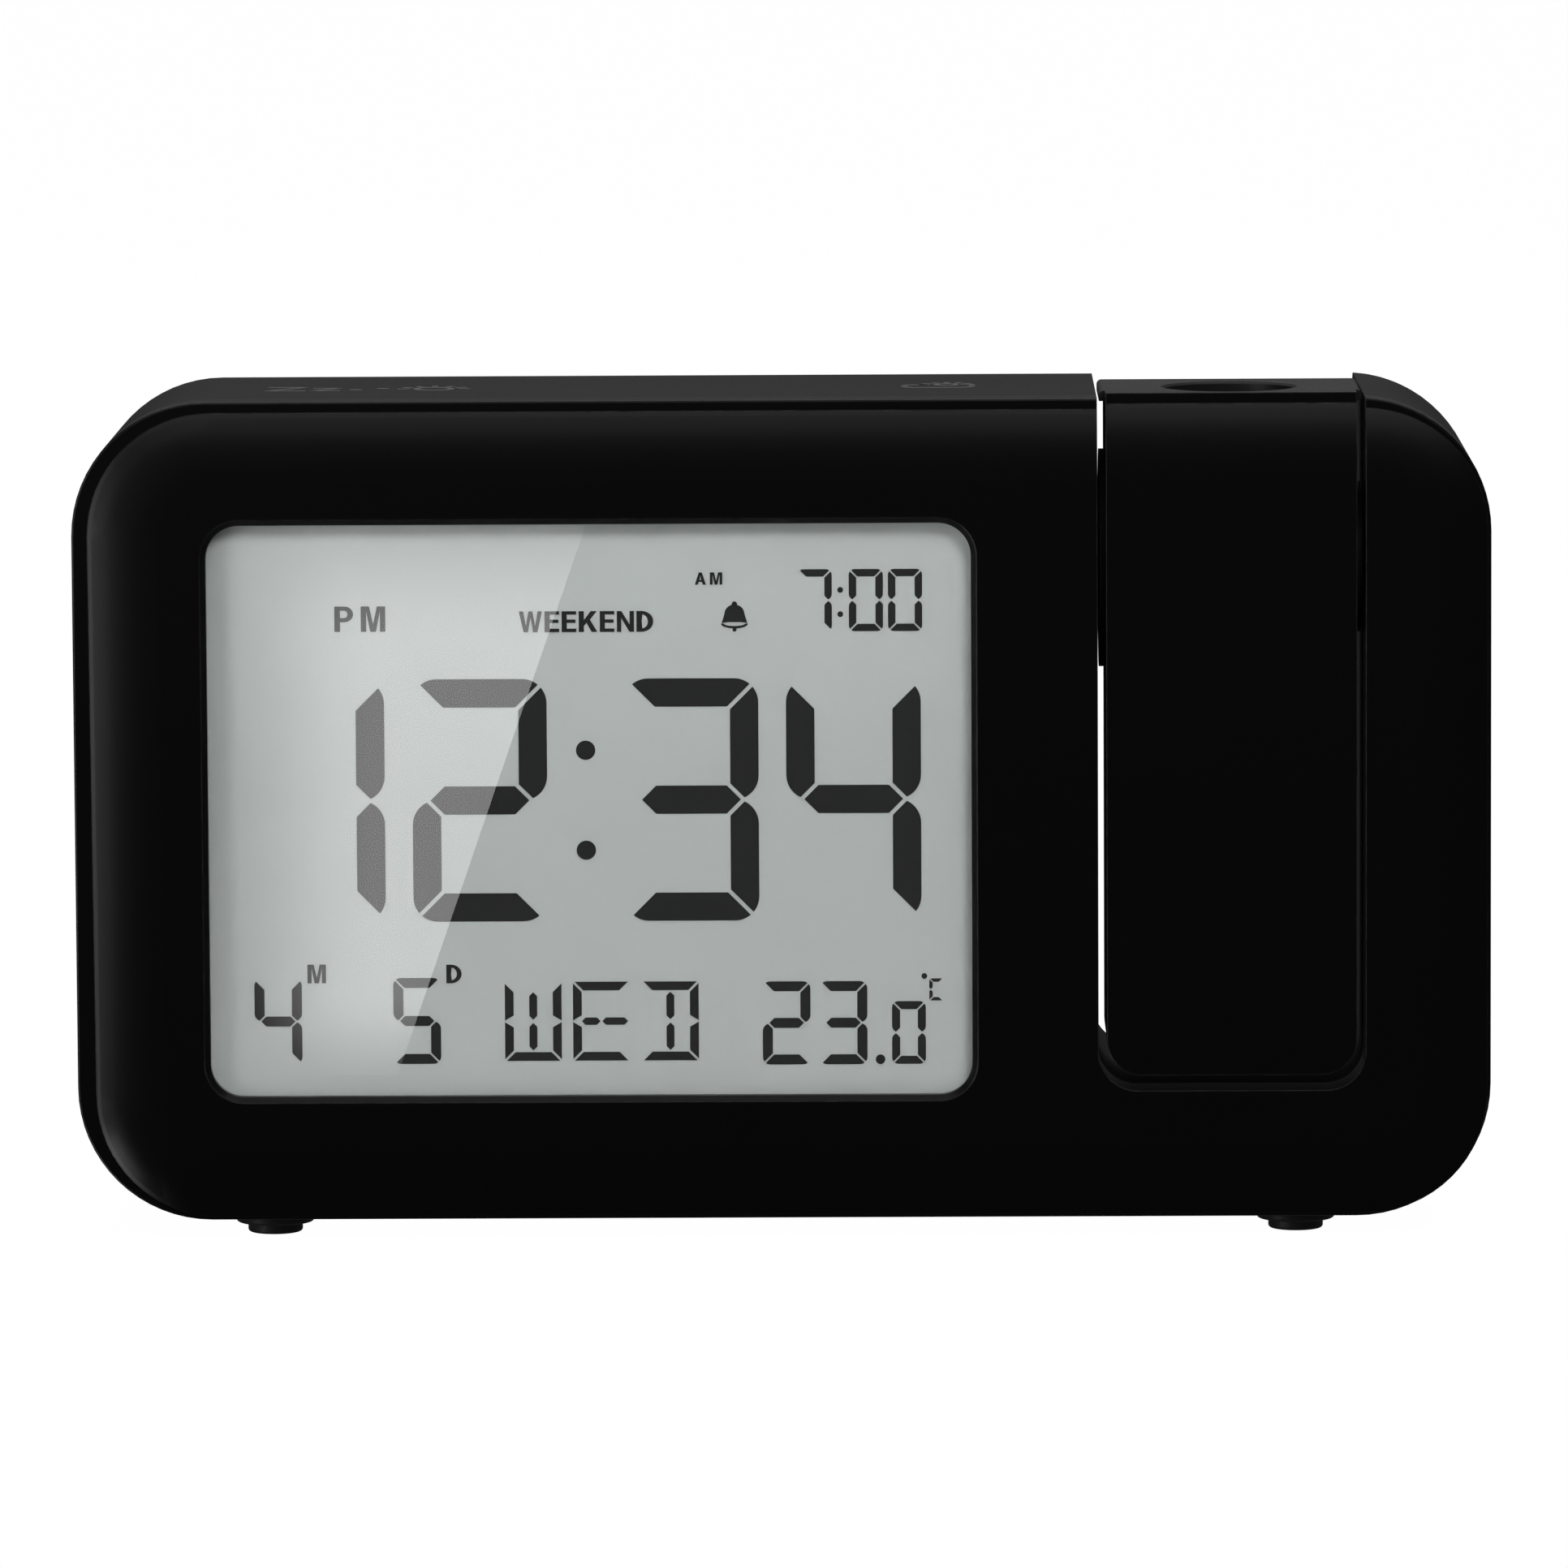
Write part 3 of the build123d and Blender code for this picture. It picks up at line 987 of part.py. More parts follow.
with BuildPart() as battery_springs:
    for row_z, way in CELL_ENDS:
        base_x = BAY_X - way * (BAY_W / 2 - FIT)
        with BuildSketch(side_plane(base_x)):
            with Locations((CELL_Y, row_z)):
                Circle(CELL_R - CELL_GAP)
        extrude(amount=way * CONTACT_T)
        start_x = base_x + way * (CONTACT_T + SPRING_WIRE_R)
        for turn in range(SPRING_TURNS):
            ring_r = (CELL_R - CELL_GAP - SPRING_WIRE_R) * (1 - SPRING_CONE * turn)
            with BuildSketch(side_plane(start_x + way * turn * SPRING_PITCH)):
                with Locations((CELL_Y, row_z)):
                    Circle(ring_r)
                    Circle(ring_r - 2 * SPRING_WIRE_R, mode=Mode.SUBTRACT)
            extrude(amount=way * SPRING_PITCH)
battery_springs.part.label = "battery_springs"
export_step(battery_springs.part, "parts/battery_springs.step")

# ================================================================ feet
FEET = {
    "foot_front_left": (-FOOT_X, -FOOT_Y),
    "foot_front_right": (FOOT_X, -FOOT_Y),
    "foot_rear_left": (-FOOT_X, FOOT_Y),
    "foot_rear_right": (FOOT_X, FOOT_Y),
}
for foot_name, place in FEET.items():
    with BuildPart() as foot:
        with BuildSketch(level(0)):
            with Locations(place):
                Circle(FOOT_TOE_R)
        extrude(amount=FOOT_TOE_H)
        with BuildSketch(level(FOOT_TOE_H)):
            with Locations(place):
                Circle(FOOT_R)
        extrude(amount=CASE_BASE_Z - FOOT_TOE_H)
        fillet(foot.edges().filter_by(GeomType.CIRCLE).sort_by(Axis.Z)[0], radius=FOOT_EDGE_R)
        fillet(foot.edges().filter_by(GeomType.CIRCLE).sort_by(SortBy.RADIUS)[-2:], radius=FOOT_EDGE_R)
        with BuildSketch(level(CASE_BASE_Z)):
            with Locations(place):
                Circle(FOOT_PEG_R)
        extrude(amount=FOOT_PEG_H)
    foot.part.label = foot_name
    export_step(foot.part, f"parts/{foot_name}.step")

with BuildPart() as case_screws:
    with BuildSketch(front_plane(SCREW_SEAT_Y)):
        circles_at(POSTS, SCREW_HEAD_R)
    extrude(amount=-SCREW_HEAD_T)
    with BuildSketch(front_plane(SCREW_SEAT_Y + SCREW_HEAD_T)):
        with Locations(*POSTS):
            Rectangle(DRIVE_W * SCREW_HEAD_R, DRIVE_T * SCREW_HEAD_R)
            Rectangle(DRIVE_T * SCREW_HEAD_R, DRIVE_W * SCREW_HEAD_R)
    extrude(amount=SCREW_HEAD_T / 2, mode=Mode.SUBTRACT)
    with BuildSketch(front_plane(SCREW_SEAT_Y)):
        circles_at(POSTS, SCREW_R)
    extrude(amount=SCREW_L)
case_screws.part.label = "case_screws"
export_step(case_screws.part, "parts/case_screws.step")

# ================================================================ projector arm
with BuildPart() as arm_front_shell:
    with BuildSketch(front_plane(PIVOT_Y)):
        arm_outline()
    extrude(amount=PIVOT_Y - FRONT_Y)
    # the same rim and crown as the face, at the arm's upper end only
    with BuildSketch(side_plane(ARM_LEFT)):
        with Locations(((FRONT_Y + RIM_Y) / 2, ARM_TOP_Z - RIM_TOP / 2)):
            Rectangle(RIM_Y - FRONT_Y, RIM_TOP)
    extrude(amount=ARM_W, mode=Mode.SUBTRACT)
    face = arm_front_shell.faces().sort_by(Axis.Y)[0]
    chamfer(face.edges().sort_by(Axis.Z)[-1], length=CROWN_W, length2=CROWN_FALL, reference=face)
    face = arm_front_shell.faces().filter_by(Axis.Y).sort_by(Axis.Y)[0]
    fillet(face.edges().sort_by(Axis.Z)[-1], radius=CROWN_R)
    with BuildSketch(front_plane(PIVOT_Y)):
        arm_outline(inset=ARM_WALL)
    extrude(amount=PIVOT_Y - ARM_INNER_Y, mode=Mode.SUBTRACT)
    with BuildSketch(front_plane(PIVOT_Y)):
        with Locations((ARM_X, ARM_TOP_Z)):
            Rectangle(ARM_W, 2 * CAP_T)
    extrude(amount=PIVOT_Y - ARM_INNER_Y, mode=Mode.SUBTRACT)
    with BuildSketch(front_plane(PIVOT_Y)):
        circles_at(ARM_POSTS, ARM_POST_R)
    extrude(amount=PIVOT_Y - ARM_INNER_Y)
    with BuildSketch(front_plane(PIVOT_Y)):
        circles_at(ARM_POSTS, ARM_SCREW_R + SEAT_GAP)
    extrude(amount=PIVOT_Y - ARM_INNER_Y, mode=Mode.SUBTRACT)
    with BuildSketch(side_plane(ARM_LEFT)):
        with Locations((PIVOT_Y, PIVOT_Z)):
            Circle(SHAFT_R + SEAT_GAP)
    extrude(amount=ARM_W, mode=Mode.SUBTRACT)
arm_front_shell.part.label = "arm_front_shell"
export_step(arm_front_shell.part, "parts/arm_front_shell.step")

with BuildPart() as arm_rear_shell:
    with BuildSketch(front_plane(ARM_BACK_Y)):
        arm_outline(top=CAP_SEAT_Z)
    extrude(amount=ARM_BACK_Y - PIVOT_Y)
    back = arm_rear_shell.faces().sort_by(Axis.Y)[-1]
    fillet(back.edges().sort_by(Axis.Z)[:-1], radius=ARM_BACK_R)
    with BuildSketch(front_plane(ARM_REAR_WALL_Y)):
        arm_outline(inset=ARM_WALL)
    extrude(amount=ARM_REAR_WALL_Y - PIVOT_Y, mode=Mode.SUBTRACT)
    with BuildSketch(front_plane(ARM_REAR_WALL_Y)):
        circles_at(ARM_POSTS, ARM_POST_R)
    extrude(amount=ARM_REAR_WALL_Y - PIVOT_Y)
    with BuildSketch(front_plane(ARM_BACK_Y)):
        circles_at(ARM_POSTS, ARM_SCREW_R + SCREW_CLEAR)
    extrude(amount=ARM_BACK_Y - PIVOT_Y, mode=Mode.SUBTRACT)
    with BuildSketch(front_plane(ARM_BACK_Y)):
        circles_at(ARM_POSTS, ARM_SCREW_HEAD_R + SCREW_CLEAR)
    extrude(amount=ARM_SCREW_SINK, mode=Mode.SUBTRACT)
    with BuildSketch(side_plane(ARM_LEFT)):
        with Locations((PIVOT_Y, PIVOT_Z)):
            Circle(SHAFT_R + SEAT_GAP)
    extrude(amount=ARM_W, mode=Mode.SUBTRACT)
arm_rear_shell.part.label = "arm_rear_shell"
export_step(arm_rear_shell.part, "parts/arm_rear_shell.step")

with BuildPart() as arm_top_cap:
    with BuildSketch(level(CAP_SEAT_Z)):
        with Locations((ARM_X, (ARM_INNER_Y + SEAT_GAP + ARM_BACK_Y) / 2)):
            Rectangle(ARM_W, ARM_BACK_Y - ARM_INNER_Y - SEAT_GAP)
        with Locations((ARM_X, (FRONT_Y + CAP_LIP_D + ARM_BACK_Y) / 2)):
            Rectangle(ARM_W + 2 * CAP_LIP, ARM_BACK_Y - FRONT_Y - CAP_LIP_D)
    extrude(amount=CAP_T)
    sides = arm_top_cap.edges().filter_by(Axis.Y).group_by(Axis.Z)[-1]
    fillet([sides.sort_by(Axis.X)[0], sides.sort_by(Axis.X)[-1]], radius=CAP_EDGE_R)
    with BuildSketch(level(CAP_SEAT_Z)):
        with Locations((ARM_X, PIVOT_Y)):
            Circle(TUBE_R)
    extrude(amount=-(CAP_SEAT_Z - RING_STEP_Z - RUN_GAP))
    with BuildSketch(level(ARM_TOP_Z)):
        with Locations((ARM_X, PIVOT_Y)):
            Circle(LENS_HOLE_R)
    extrude(amount=-(ARM_TOP_Z - RING_STEP_Z), mode=Mode.SUBTRACT)
    rim = arm_top_cap.faces().sort_by(Axis.Z)[-1]
    chamfer(rim.inner_wires()[0].edges(), length=LENS_HOLE_EDGE)
arm_top_cap.part.label = "arm_top_cap"
export_step(arm_top_cap.part, "parts/arm_top_cap.step")

with BuildPart() as arm_screws:
    with BuildSketch(front_plane(ARM_SCREW_SEAT_Y)):
        circles_at(ARM_POSTS, ARM_SCREW_HEAD_R)
    extrude(amount=-ARM_SCREW_HEAD_T)
    with BuildSketch(front_plane(ARM_SCREW_SEAT_Y + ARM_SCREW_HEAD_T)):
        with Locations(*ARM_POSTS):
            Rectangle(DRIVE_W * ARM_SCREW_HEAD_R, DRIVE_T * ARM_SCREW_HEAD_R)
            Rectangle(DRIVE_T * ARM_SCREW_HEAD_R, DRIVE_W * ARM_SCREW_HEAD_R)
    extrude(amount=ARM_SCREW_HEAD_T / 2, mode=Mode.SUBTRACT)
    with BuildSketch(front_plane(ARM_SCREW_SEAT_Y)):
        circles_at(ARM_POSTS, ARM_SCREW_R)
    extrude(amount=ARM_SCREW_L)
arm_screws.part.label = "arm_screws"
export_step(arm_screws.part, "parts/arm_screws.step")

# ================================================================ pivot
with BuildPart() as pivot_hub_left:
    with BuildSketch(side_plane(ARM_LEFT)):
        with Locations((PIVOT_Y, PIVOT_Z)):
            Ellipse(LEFT_PAD_W / 2, LEFT_PAD_H / 2)
    extrude(amount=-PAD_T)
    with BuildSketch(side_plane(ARM_LEFT + ARM_WALL)):
        with Locations((PIVOT_Y, PIVOT_Z)):
            Circle(HUB_FLANGE_R)
    extrude(amount=HUB_FLANGE_T)
    with BuildSketch(side_plane(ARM_LEFT + ARM_WALL)):
        with Locations((PIVOT_Y, PIVOT_Z)):
            Circle(SHAFT_R)
    extrude(amount=-(ARM_WALL + SHAFT_L))
    with BuildSketch(side_plane(ARM_LEFT - SHAFT_L)):
        with Locations((PIVOT_Y, PIVOT_Z)):
            Circle(LEAD_R)
    extrude(amount=SHAFT_L + ARM_WALL + HUB_FLANGE_T, mode=Mode.SUBTRACT)
pivot_hub_left.part.label = "pivot_hub_left"
export_step(pivot_hub_left.part, "parts/pivot_hub_left.step")

with BuildPart() as pivot_hub_right:
    with BuildSketch(side_plane(ARM_RIGHT)):
        with Locations((PIVOT_Y, PIVOT_Z)):
            Circle(RIGHT_PAD_R)
    extrude(amount=PAD_T)
    with BuildSketch(side_plane(ARM_RIGHT - ARM_WALL)):
        with Locations((PIVOT_Y, PIVOT_Z)):
            Circle(HUB_FLANGE_R)
    extrude(amount=-HUB_FLANGE_T)
    with BuildSketch(side_plane(ARM_RIGHT - ARM_WALL)):
        with Locations((PIVOT_Y, PIVOT_Z)):
            Circle(SHAFT_R)
    extrude(amount=ARM_WALL + SHAFT_L)
pivot_hub_right.part.label = "pivot_hub_right"
export_step(pivot_hub_right.part, "parts/pivot_hub_right.step")

with BuildPart() as friction_washers:
    for wall_x, way in ((SLOT_LEFT, -1), (SLOT_RIGHT, 1)):
        with BuildSketch(side_plane(wall_x + way * COLLAR_END)):
            with Locations((PIVOT_Y, PIVOT_Z)):
                Circle(SHAFT_R + COLLAR_WALL)
                Circle(SHAFT_R + BEARING_GAP, mode=Mode.SUBTRACT)
        extrude(amount=way * WASHER_T)
friction_washers.part.label = "friction_washers"
export_step(friction_washers.part, "parts/friction_washers.step")

with BuildPart() as pivot_retainers:
    for wall_x, way in ((SLOT_LEFT, -1), (SLOT_RIGHT, 1)):
        with BuildSketch(side_plane(wall_x + way * (COLLAR_END + WASHER_T + STACK_GAP))):
            with Locations((PIVOT_Y, PIVOT_Z)):
                Circle(RETAINER_R)
                Circle(SHAFT_R + SEAT_GAP, mode=Mode.SUBTRACT)
        extrude(amount=way * RETAINER_T)
pivot_retainers.part.label = "pivot_retainers"
export_step(pivot_retainers.part, "parts/pivot_retainers.step")

# ================================================================ projector optics
with BuildPart() as optical_chassis:
    with BuildSketch(level(TUBE_LOW_Z)):
        with Locations((ARM_X, LED_BOARD_Y)):
            Rectangle(LED_BOARD_W, LED_BOARD_D)
    extrude(amount=TUBE_FLANGE_T)
    with BuildSketch(level(TUBE_LOW_Z)):
        with Locations((ARM_X, PIVOT_Y)):
            Circle(TUBE_R)
    extrude(amount=TUBE_L)
    with BuildSketch(level(TUBE_LOW_Z)):
        with Locations((ARM_X, PIVOT_Y)):
            Circle(TUBE_BORE_R)
    extrude(amount=TUBE_L, mode=Mode.SUBTRACT)
    for seat_z, opening_r in ((CONDENSER_Z, CONDENSER_R - 2 * OPTIC_LEDGE_T), (SLIDE_Z, SLIDE_W / 2)):
        with BuildSketch(level(TUBE_LOW_Z + seat_z - OPTIC_LEDGE_T)):
            with Locations((ARM_X, PIVOT_Y)):
                Circle(TUBE_BORE_R)
                Circle(opening_r - FIT, mode=Mode.SUBTRACT)
        extrude(amount=OPTIC_LEDGE_T)
optical_chassis.part.label = "optical_chassis"
export_step(optical_chassis.part, "parts/optical_chassis.step")

with BuildPart() as led_board:
    with BuildSketch(level(TUBE_LOW_Z)):
        with Locations((ARM_X, LED_BOARD_Y)):
            Rectangle(LED_BOARD_W - 2 * ARM_POST_R, LED_BOARD_D)
    extrude(amount=-BOARD_T)
led_board.part.label = "led_board"
export_step(led_board.part, "parts/led_board.step")

with BuildPart() as projector_led:
    with BuildSketch(level(TUBE_LOW_Z)):
        with Locations((ARM_X, PIVOT_Y)):
            Circle(LED_RIM_R)
    extrude(amount=TUBE_FLANGE_T / 2)
    with BuildSketch(level(TUBE_LOW_Z)):
        with Locations((ARM_X, PIVOT_Y)):
            Circle(LED_R)
    extrude(amount=LED_L)
    fillet(projector_led.faces().sort_by(Axis.Z)[-1].edges(), radius=LED_TIP_R)
projector_led.part.label = "projector_led"
export_step(projector_led.part, "parts/projector_led.step")

LENSES = {
    "condenser_lens": (TUBE_LOW_Z + CONDENSER_Z, CONDENSER_R, CONDENSER_T, CONDENSER_DOME),
    "projection_lens_rear": (CARRIER_LOW_Z, LENS_R, LENS_T, LENS_DOME),
    "projection_lens_front": (CARRIER_TOP_Z - LENS_T - LENS_DOME, LENS_R, LENS_T, LENS_DOME),
}
for lens_name, (base_z, lens_r, edge, dome) in LENSES.items():
    with BuildPart() as lens:
        sphere_r = (lens_r**2 + dome**2) / (2 * dome)
        with BuildSketch(level(base_z)):
            with Locations((ARM_X, PIVOT_Y)):
                Circle(lens_r)
        extrude(amount=edge + dome)
        with Locations((ARM_X, PIVOT_Y, base_z + edge + dome - sphere_r)):
            Sphere(sphere_r, mode=Mode.INTERSECT)
    lens.part.label = lens_name
    export_step(lens.part, f"parts/{lens_name}.step")

with BuildPart() as projection_slide:
    with BuildSketch(level(TUBE_LOW_Z + SLIDE_Z)):
        with Locations((ARM_X, PIVOT_Y)):
            Rectangle(SLIDE_W, SLIDE_W)
    extrude(amount=SLIDE_T)
projection_slide.part.label = "projection_slide"
export_step(projection_slide.part, "parts/projection_slide.step")

with BuildPart() as lens_carrier:
    with BuildSketch(level(CARRIER_LOW_Z)):
        with Locations((ARM_X, PIVOT_Y)):
            Circle(CARRIER_R)
    extrude(amount=CARRIER_L)
    with BuildSketch(level(CARRIER_LOW_Z)):
        with Locations((ARM_X, PIVOT_Y)):
            Circle(CARRIER_NECK_R)
    extrude(amount=CARRIER_TOP_Z - CARRIER_LOW_Z)
    with BuildSketch(level(CARRIER_LOW_Z)):
        with Locations((ARM_X, PIVOT_Y)):
            Circle(CARRIER_BORE_R)
    extrude(amount=CARRIER_TOP_Z - CARRIER_LOW_Z, mode=Mode.SUBTRACT)
    for seat_z in (CARRIER_LOW_Z, CARRIER_TOP_Z - LENS_T - LENS_DOME):
        with BuildSketch(level(seat_z)):
            with Locations((ARM_X, PIVOT_Y)):
                Circle(LENS_R + SEAT_GAP)
        extrude(amount=LENS_T + LENS_DOME, mode=Mode.SUBTRACT)
lens_carrier.part.label = "lens_carrier"
export_step(lens_carrier.part, "parts/lens_carrier.step")

with BuildPart() as focus_ring:
    with BuildSketch(level(RING_LOW_Z)):
        with Locations((ARM_X, PIVOT_Y)):
            Circle(RING_FLANGE_R)
    extrude(amount=RING_FLANGE_T)
    with BuildSketch(level(RING_LOW_Z)):
        with Locations((ARM_X, PIVOT_Y)):
            Circle(RING_R)
    extrude(amount=RING_TOP_Z - RING_LOW_Z)
    with BuildSketch(level(RING_LOW_Z)):
        with Locations((ARM_X, PIVOT_Y)):
            Circle(RING_BORE_R)
    extrude(amount=RING_TOP_Z - RING_LOW_Z, mode=Mode.SUBTRACT)
    with BuildSketch(level(RING_TOP_Z)):
        with Locations((ARM_X, PIVOT_Y)):
            with PolarLocations(RING_BORE_R, RING_NOTCHES):
                Circle(RING_NOTCH_R)
    extrude(amount=-RING_NOTCH_R, mode=Mode.SUBTRACT)
focus_ring.part.label = "focus_ring"
export_step(focus_ring.part, "parts/focus_ring.step")

with BuildPart() as projector_driver:
    with BuildSketch(front_plane(ARM_REAR_WALL_Y - RUN_GAP)):
        with Locations((ARM_X, DRIVER_LOW_Z + DRIVER_H / 2)):
            RectangleRounded(DRIVER_W, DRIVER_H, ARM_SCREW_R)
    extrude(amount=BOARD_T)
    with BuildSketch(front_plane(ARM_REAR_WALL_Y - RUN_GAP - BOARD_T)):
        with Locations((ARM_X, DRIVER_LOW_Z + DRIVER_H / 2)):
            Rectangle(DRIVER_W / 2, DRIVER_W / 2)
    extrude(amount=CHIP_T)
projector_driver.part.label = "projector_driver"
export_step(projector_driver.part, "parts/projector_driver.step")
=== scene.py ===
"""Finishes, display characters, printed marks and studio of a projection alarm clock."""

import logging
import math
from dataclasses import dataclass, field
from enum import Enum

import bmesh
import bpy
from mathutils import Matrix, Vector


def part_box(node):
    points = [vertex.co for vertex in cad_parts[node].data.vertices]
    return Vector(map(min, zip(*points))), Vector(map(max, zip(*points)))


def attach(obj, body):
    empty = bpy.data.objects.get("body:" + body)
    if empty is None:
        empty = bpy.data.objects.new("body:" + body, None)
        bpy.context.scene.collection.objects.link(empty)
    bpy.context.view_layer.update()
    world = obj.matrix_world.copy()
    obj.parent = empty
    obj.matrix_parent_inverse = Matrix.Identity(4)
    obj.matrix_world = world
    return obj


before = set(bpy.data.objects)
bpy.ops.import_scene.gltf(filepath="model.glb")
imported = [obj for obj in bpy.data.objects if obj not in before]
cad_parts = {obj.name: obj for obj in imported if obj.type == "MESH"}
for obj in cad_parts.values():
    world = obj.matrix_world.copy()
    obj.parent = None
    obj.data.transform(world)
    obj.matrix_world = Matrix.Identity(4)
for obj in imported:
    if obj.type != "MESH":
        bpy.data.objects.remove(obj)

LOG = logging.getLogger("clock")
MM = 0.001

Colour = tuple[float, float, float]
Point = tuple[float, float]
Outline = list[Point]
Glyph = tuple[float, list[Outline]]

# Colour sockets of a mix node, which share their names with its number and vector sockets.
MIX_LOW, MIX_HIGH, MIX_RESULT = 6, 7, 2


def grey(level: float) -> Colour:
    """Neutral colour of a display level from 0 to 255."""
    return rgb(level, level, level)


def rgb(red: float, green: float, blue: float) -> Colour:
    """Linear colour of display levels from 0 to 255.

    Args:
        red: Level of red.
        green: Level of green.
        blue: Level of blue.

    Returns:
        The colour.
    """

    def linear(level: float) -> float:
        """One channel on the linear scale, by the standard curve of a display."""
        share = level / 255
        return share / 12.92 if share <= 0.04045 else ((share + 0.055) / 1.055) ** 2.4

    return (linear(red), linear(green), linear(blue))


def opaque(colour: Colour) -> tuple[float, float, float, float]:
    """The colour with full alpha, as sockets take it."""
    return (*colour, 1.0)


# ---------------------------------------------------------------- shader graphs


@dataclass
class Graph:
    """Adds nodes and links to one node tree.

    Attributes:
        tree: The node tree that is filled.
    """

    tree: bpy.types.NodeTree

    def add(self, kind: str, **settings: object) -> bpy.types.Node:
        """Adds one node.

        Args:
            kind: Blender's type name of the node.
            **settings: Properties of the node.

        Returns:
            The new node.
        """
        node = self.tree.nodes.new(kind)
        for key, value in settings.items():
            setattr(node, key, value)
        return node

    def feed(self, socket: bpy.types.NodeSocket, source: object) -> None:
        """Links a socket to a source, or sets its value.

        Args:
            socket: The input that is fed.
            source: An output socket, a number, a vector or a colour.
        """
        if isinstance(source, bpy.types.NodeSocket):
            self.tree.links.new(source, socket)
        elif isinstance(source, tuple) and len(source) == 3 and socket.type == "RGBA":
            socket.default_value = opaque(source)
        else:
            socket.default_value = source

    def math(self, operation: str, *terms: object, clamp: bool = False) -> bpy.types.NodeSocket:
        """Adds a math node.

        Args:
            operation: Blender's name of the operation.
            *terms: Numbers or output sockets.
            clamp: Whether the result stays between 0 and 1.

        Returns:
            The node's result.
        """
        node = self.add("ShaderNodeMath", operation=operation, use_clamp=clamp)
        for socket, term in zip(node.inputs, terms):
            self.feed(socket, term)
        return node.outputs[0]

    def blend(self, mask: object, low: object, high: object) -> bpy.types.NodeSocket:
        """Adds a colour mix.

        Args:
            mask: Share of the second colour.
            low: First colour.
            high: Second colour.

        Returns:
            The mixed colour.
        """
        node = self.add("ShaderNodeMix", data_type="RGBA")
        self.feed(node.inputs[0], mask)
        self.feed(node.inputs[MIX_LOW], low)
        self.feed(node.inputs[MIX_HIGH], high)
        return node.outputs[MIX_RESULT]

    def mix(self, mask: object, low: object, high: object) -> bpy.types.NodeSocket:
        """Adds a mix of two shaders.

        Args:
            mask: Share of the second shader.
            low: First shader.
            high: Second shader.

        Returns:
            The mixed shader.
        """
        node = self.add("ShaderNodeMixShader")
        for socket, source in zip(node.inputs, (mask, low, high)):
            self.feed(socket, source)
        return node.outputs[0]

    def place(self) -> bpy.types.NodeSocket:
        """Coordinates that move with the piece."""
        return self.add("ShaderNodeTexCoord").outputs["Object"]

    def parts_of(self, vector: object) -> bpy.types.bpy_prop_collection:
        """Adds a node that splits a vector and returns its outputs X, Y and Z.

        Args:
            vector: The vector.

        Returns:
            The outputs by name.
        """
        node = self.add("ShaderNodeSeparateXYZ")
        self.feed(node.inputs[0], vector)
        return node.outputs

    def scale(self, value: object, low: float, high: float, start: float = 0.0,
              end: float = 1.0) -> bpy.types.NodeSocket:
        """Maps a value from one range to another.

        Args:
            value: The value that is mapped.
            low: Result at the start.
            high: Result at the end.
            start: Value that gives the low result.
            end: Value that gives the high result.

        Returns:
            The mapped value.
        """
        node = self.add("ShaderNodeMapRange")
        for socket, term in zip(node.inputs, (value, start, end, low, high)):
            self.feed(socket, term)
        return node.outputs[0]

    def noise(self, vector: object, scale: object, detail: float = 2.0,
              roughness: float = 0.5) -> bpy.types.NodeSocket:
        """Adds a noise texture and returns its height.

        Args:
            vector: Coordinates.
            scale: Cells per metre.
            detail: Number of finer layers.
            roughness: Weight of the finer layers.

        Returns:
            The noise value from 0 to 1.
        """
        node = self.add("ShaderNodeTexNoise")
        self.feed(node.inputs["Vector"], vector)
        self.feed(node.inputs["Scale"], scale)
        node.inputs["Detail"].default_value = detail
        node.inputs["Roughness"].default_value = roughness
        return node.outputs["Fac"]


def blank_material(name: str) -> tuple[bpy.types.Material, Graph]:
    """Makes a material with an empty node tree.

    Args:
        name: Name of the material.

    Returns:
        The material and the graph of its tree.
    """
    material = bpy.data.materials.new(name)
    material.use_nodes = True
    material.node_tree.nodes.clear()
    return material, Graph(material.node_tree)


@dataclass
class Effect:
    """A node group with named inputs and outputs that several finishes share.

    Attributes:
        name: Name of the group.
        inputs: Name, kind and default of each input.
        outputs: Name and kind of each output.
    """

    name: str
    inputs: tuple[tuple[str, str, float], ...]
    outputs: tuple[tuple[str, str], ...]

    def tree(self) -> tuple[bpy.types.NodeTree, Graph, bpy.types.Node, bpy.types.Node]:
        """Makes the empty group.

        Returns:
            The group, its graph, its input node and its output node.
        """
        tree = bpy.data.node_groups.new(self.name, "ShaderNodeTree")
        for name, kind, default in self.inputs:
            socket = tree.interface.new_socket(name, in_out="INPUT", socket_type=kind)
            socket.default_value = default
        for name, kind in self.outputs:
            tree.interface.new_socket(name, in_out="OUTPUT", socket_type=kind)
        graph = Graph(tree)
        return tree, graph, graph.add("NodeGroupInput"), graph.add("NodeGroupOutput")


FLOAT = "NodeSocketFloat"
VECTOR = "NodeSocketVector"


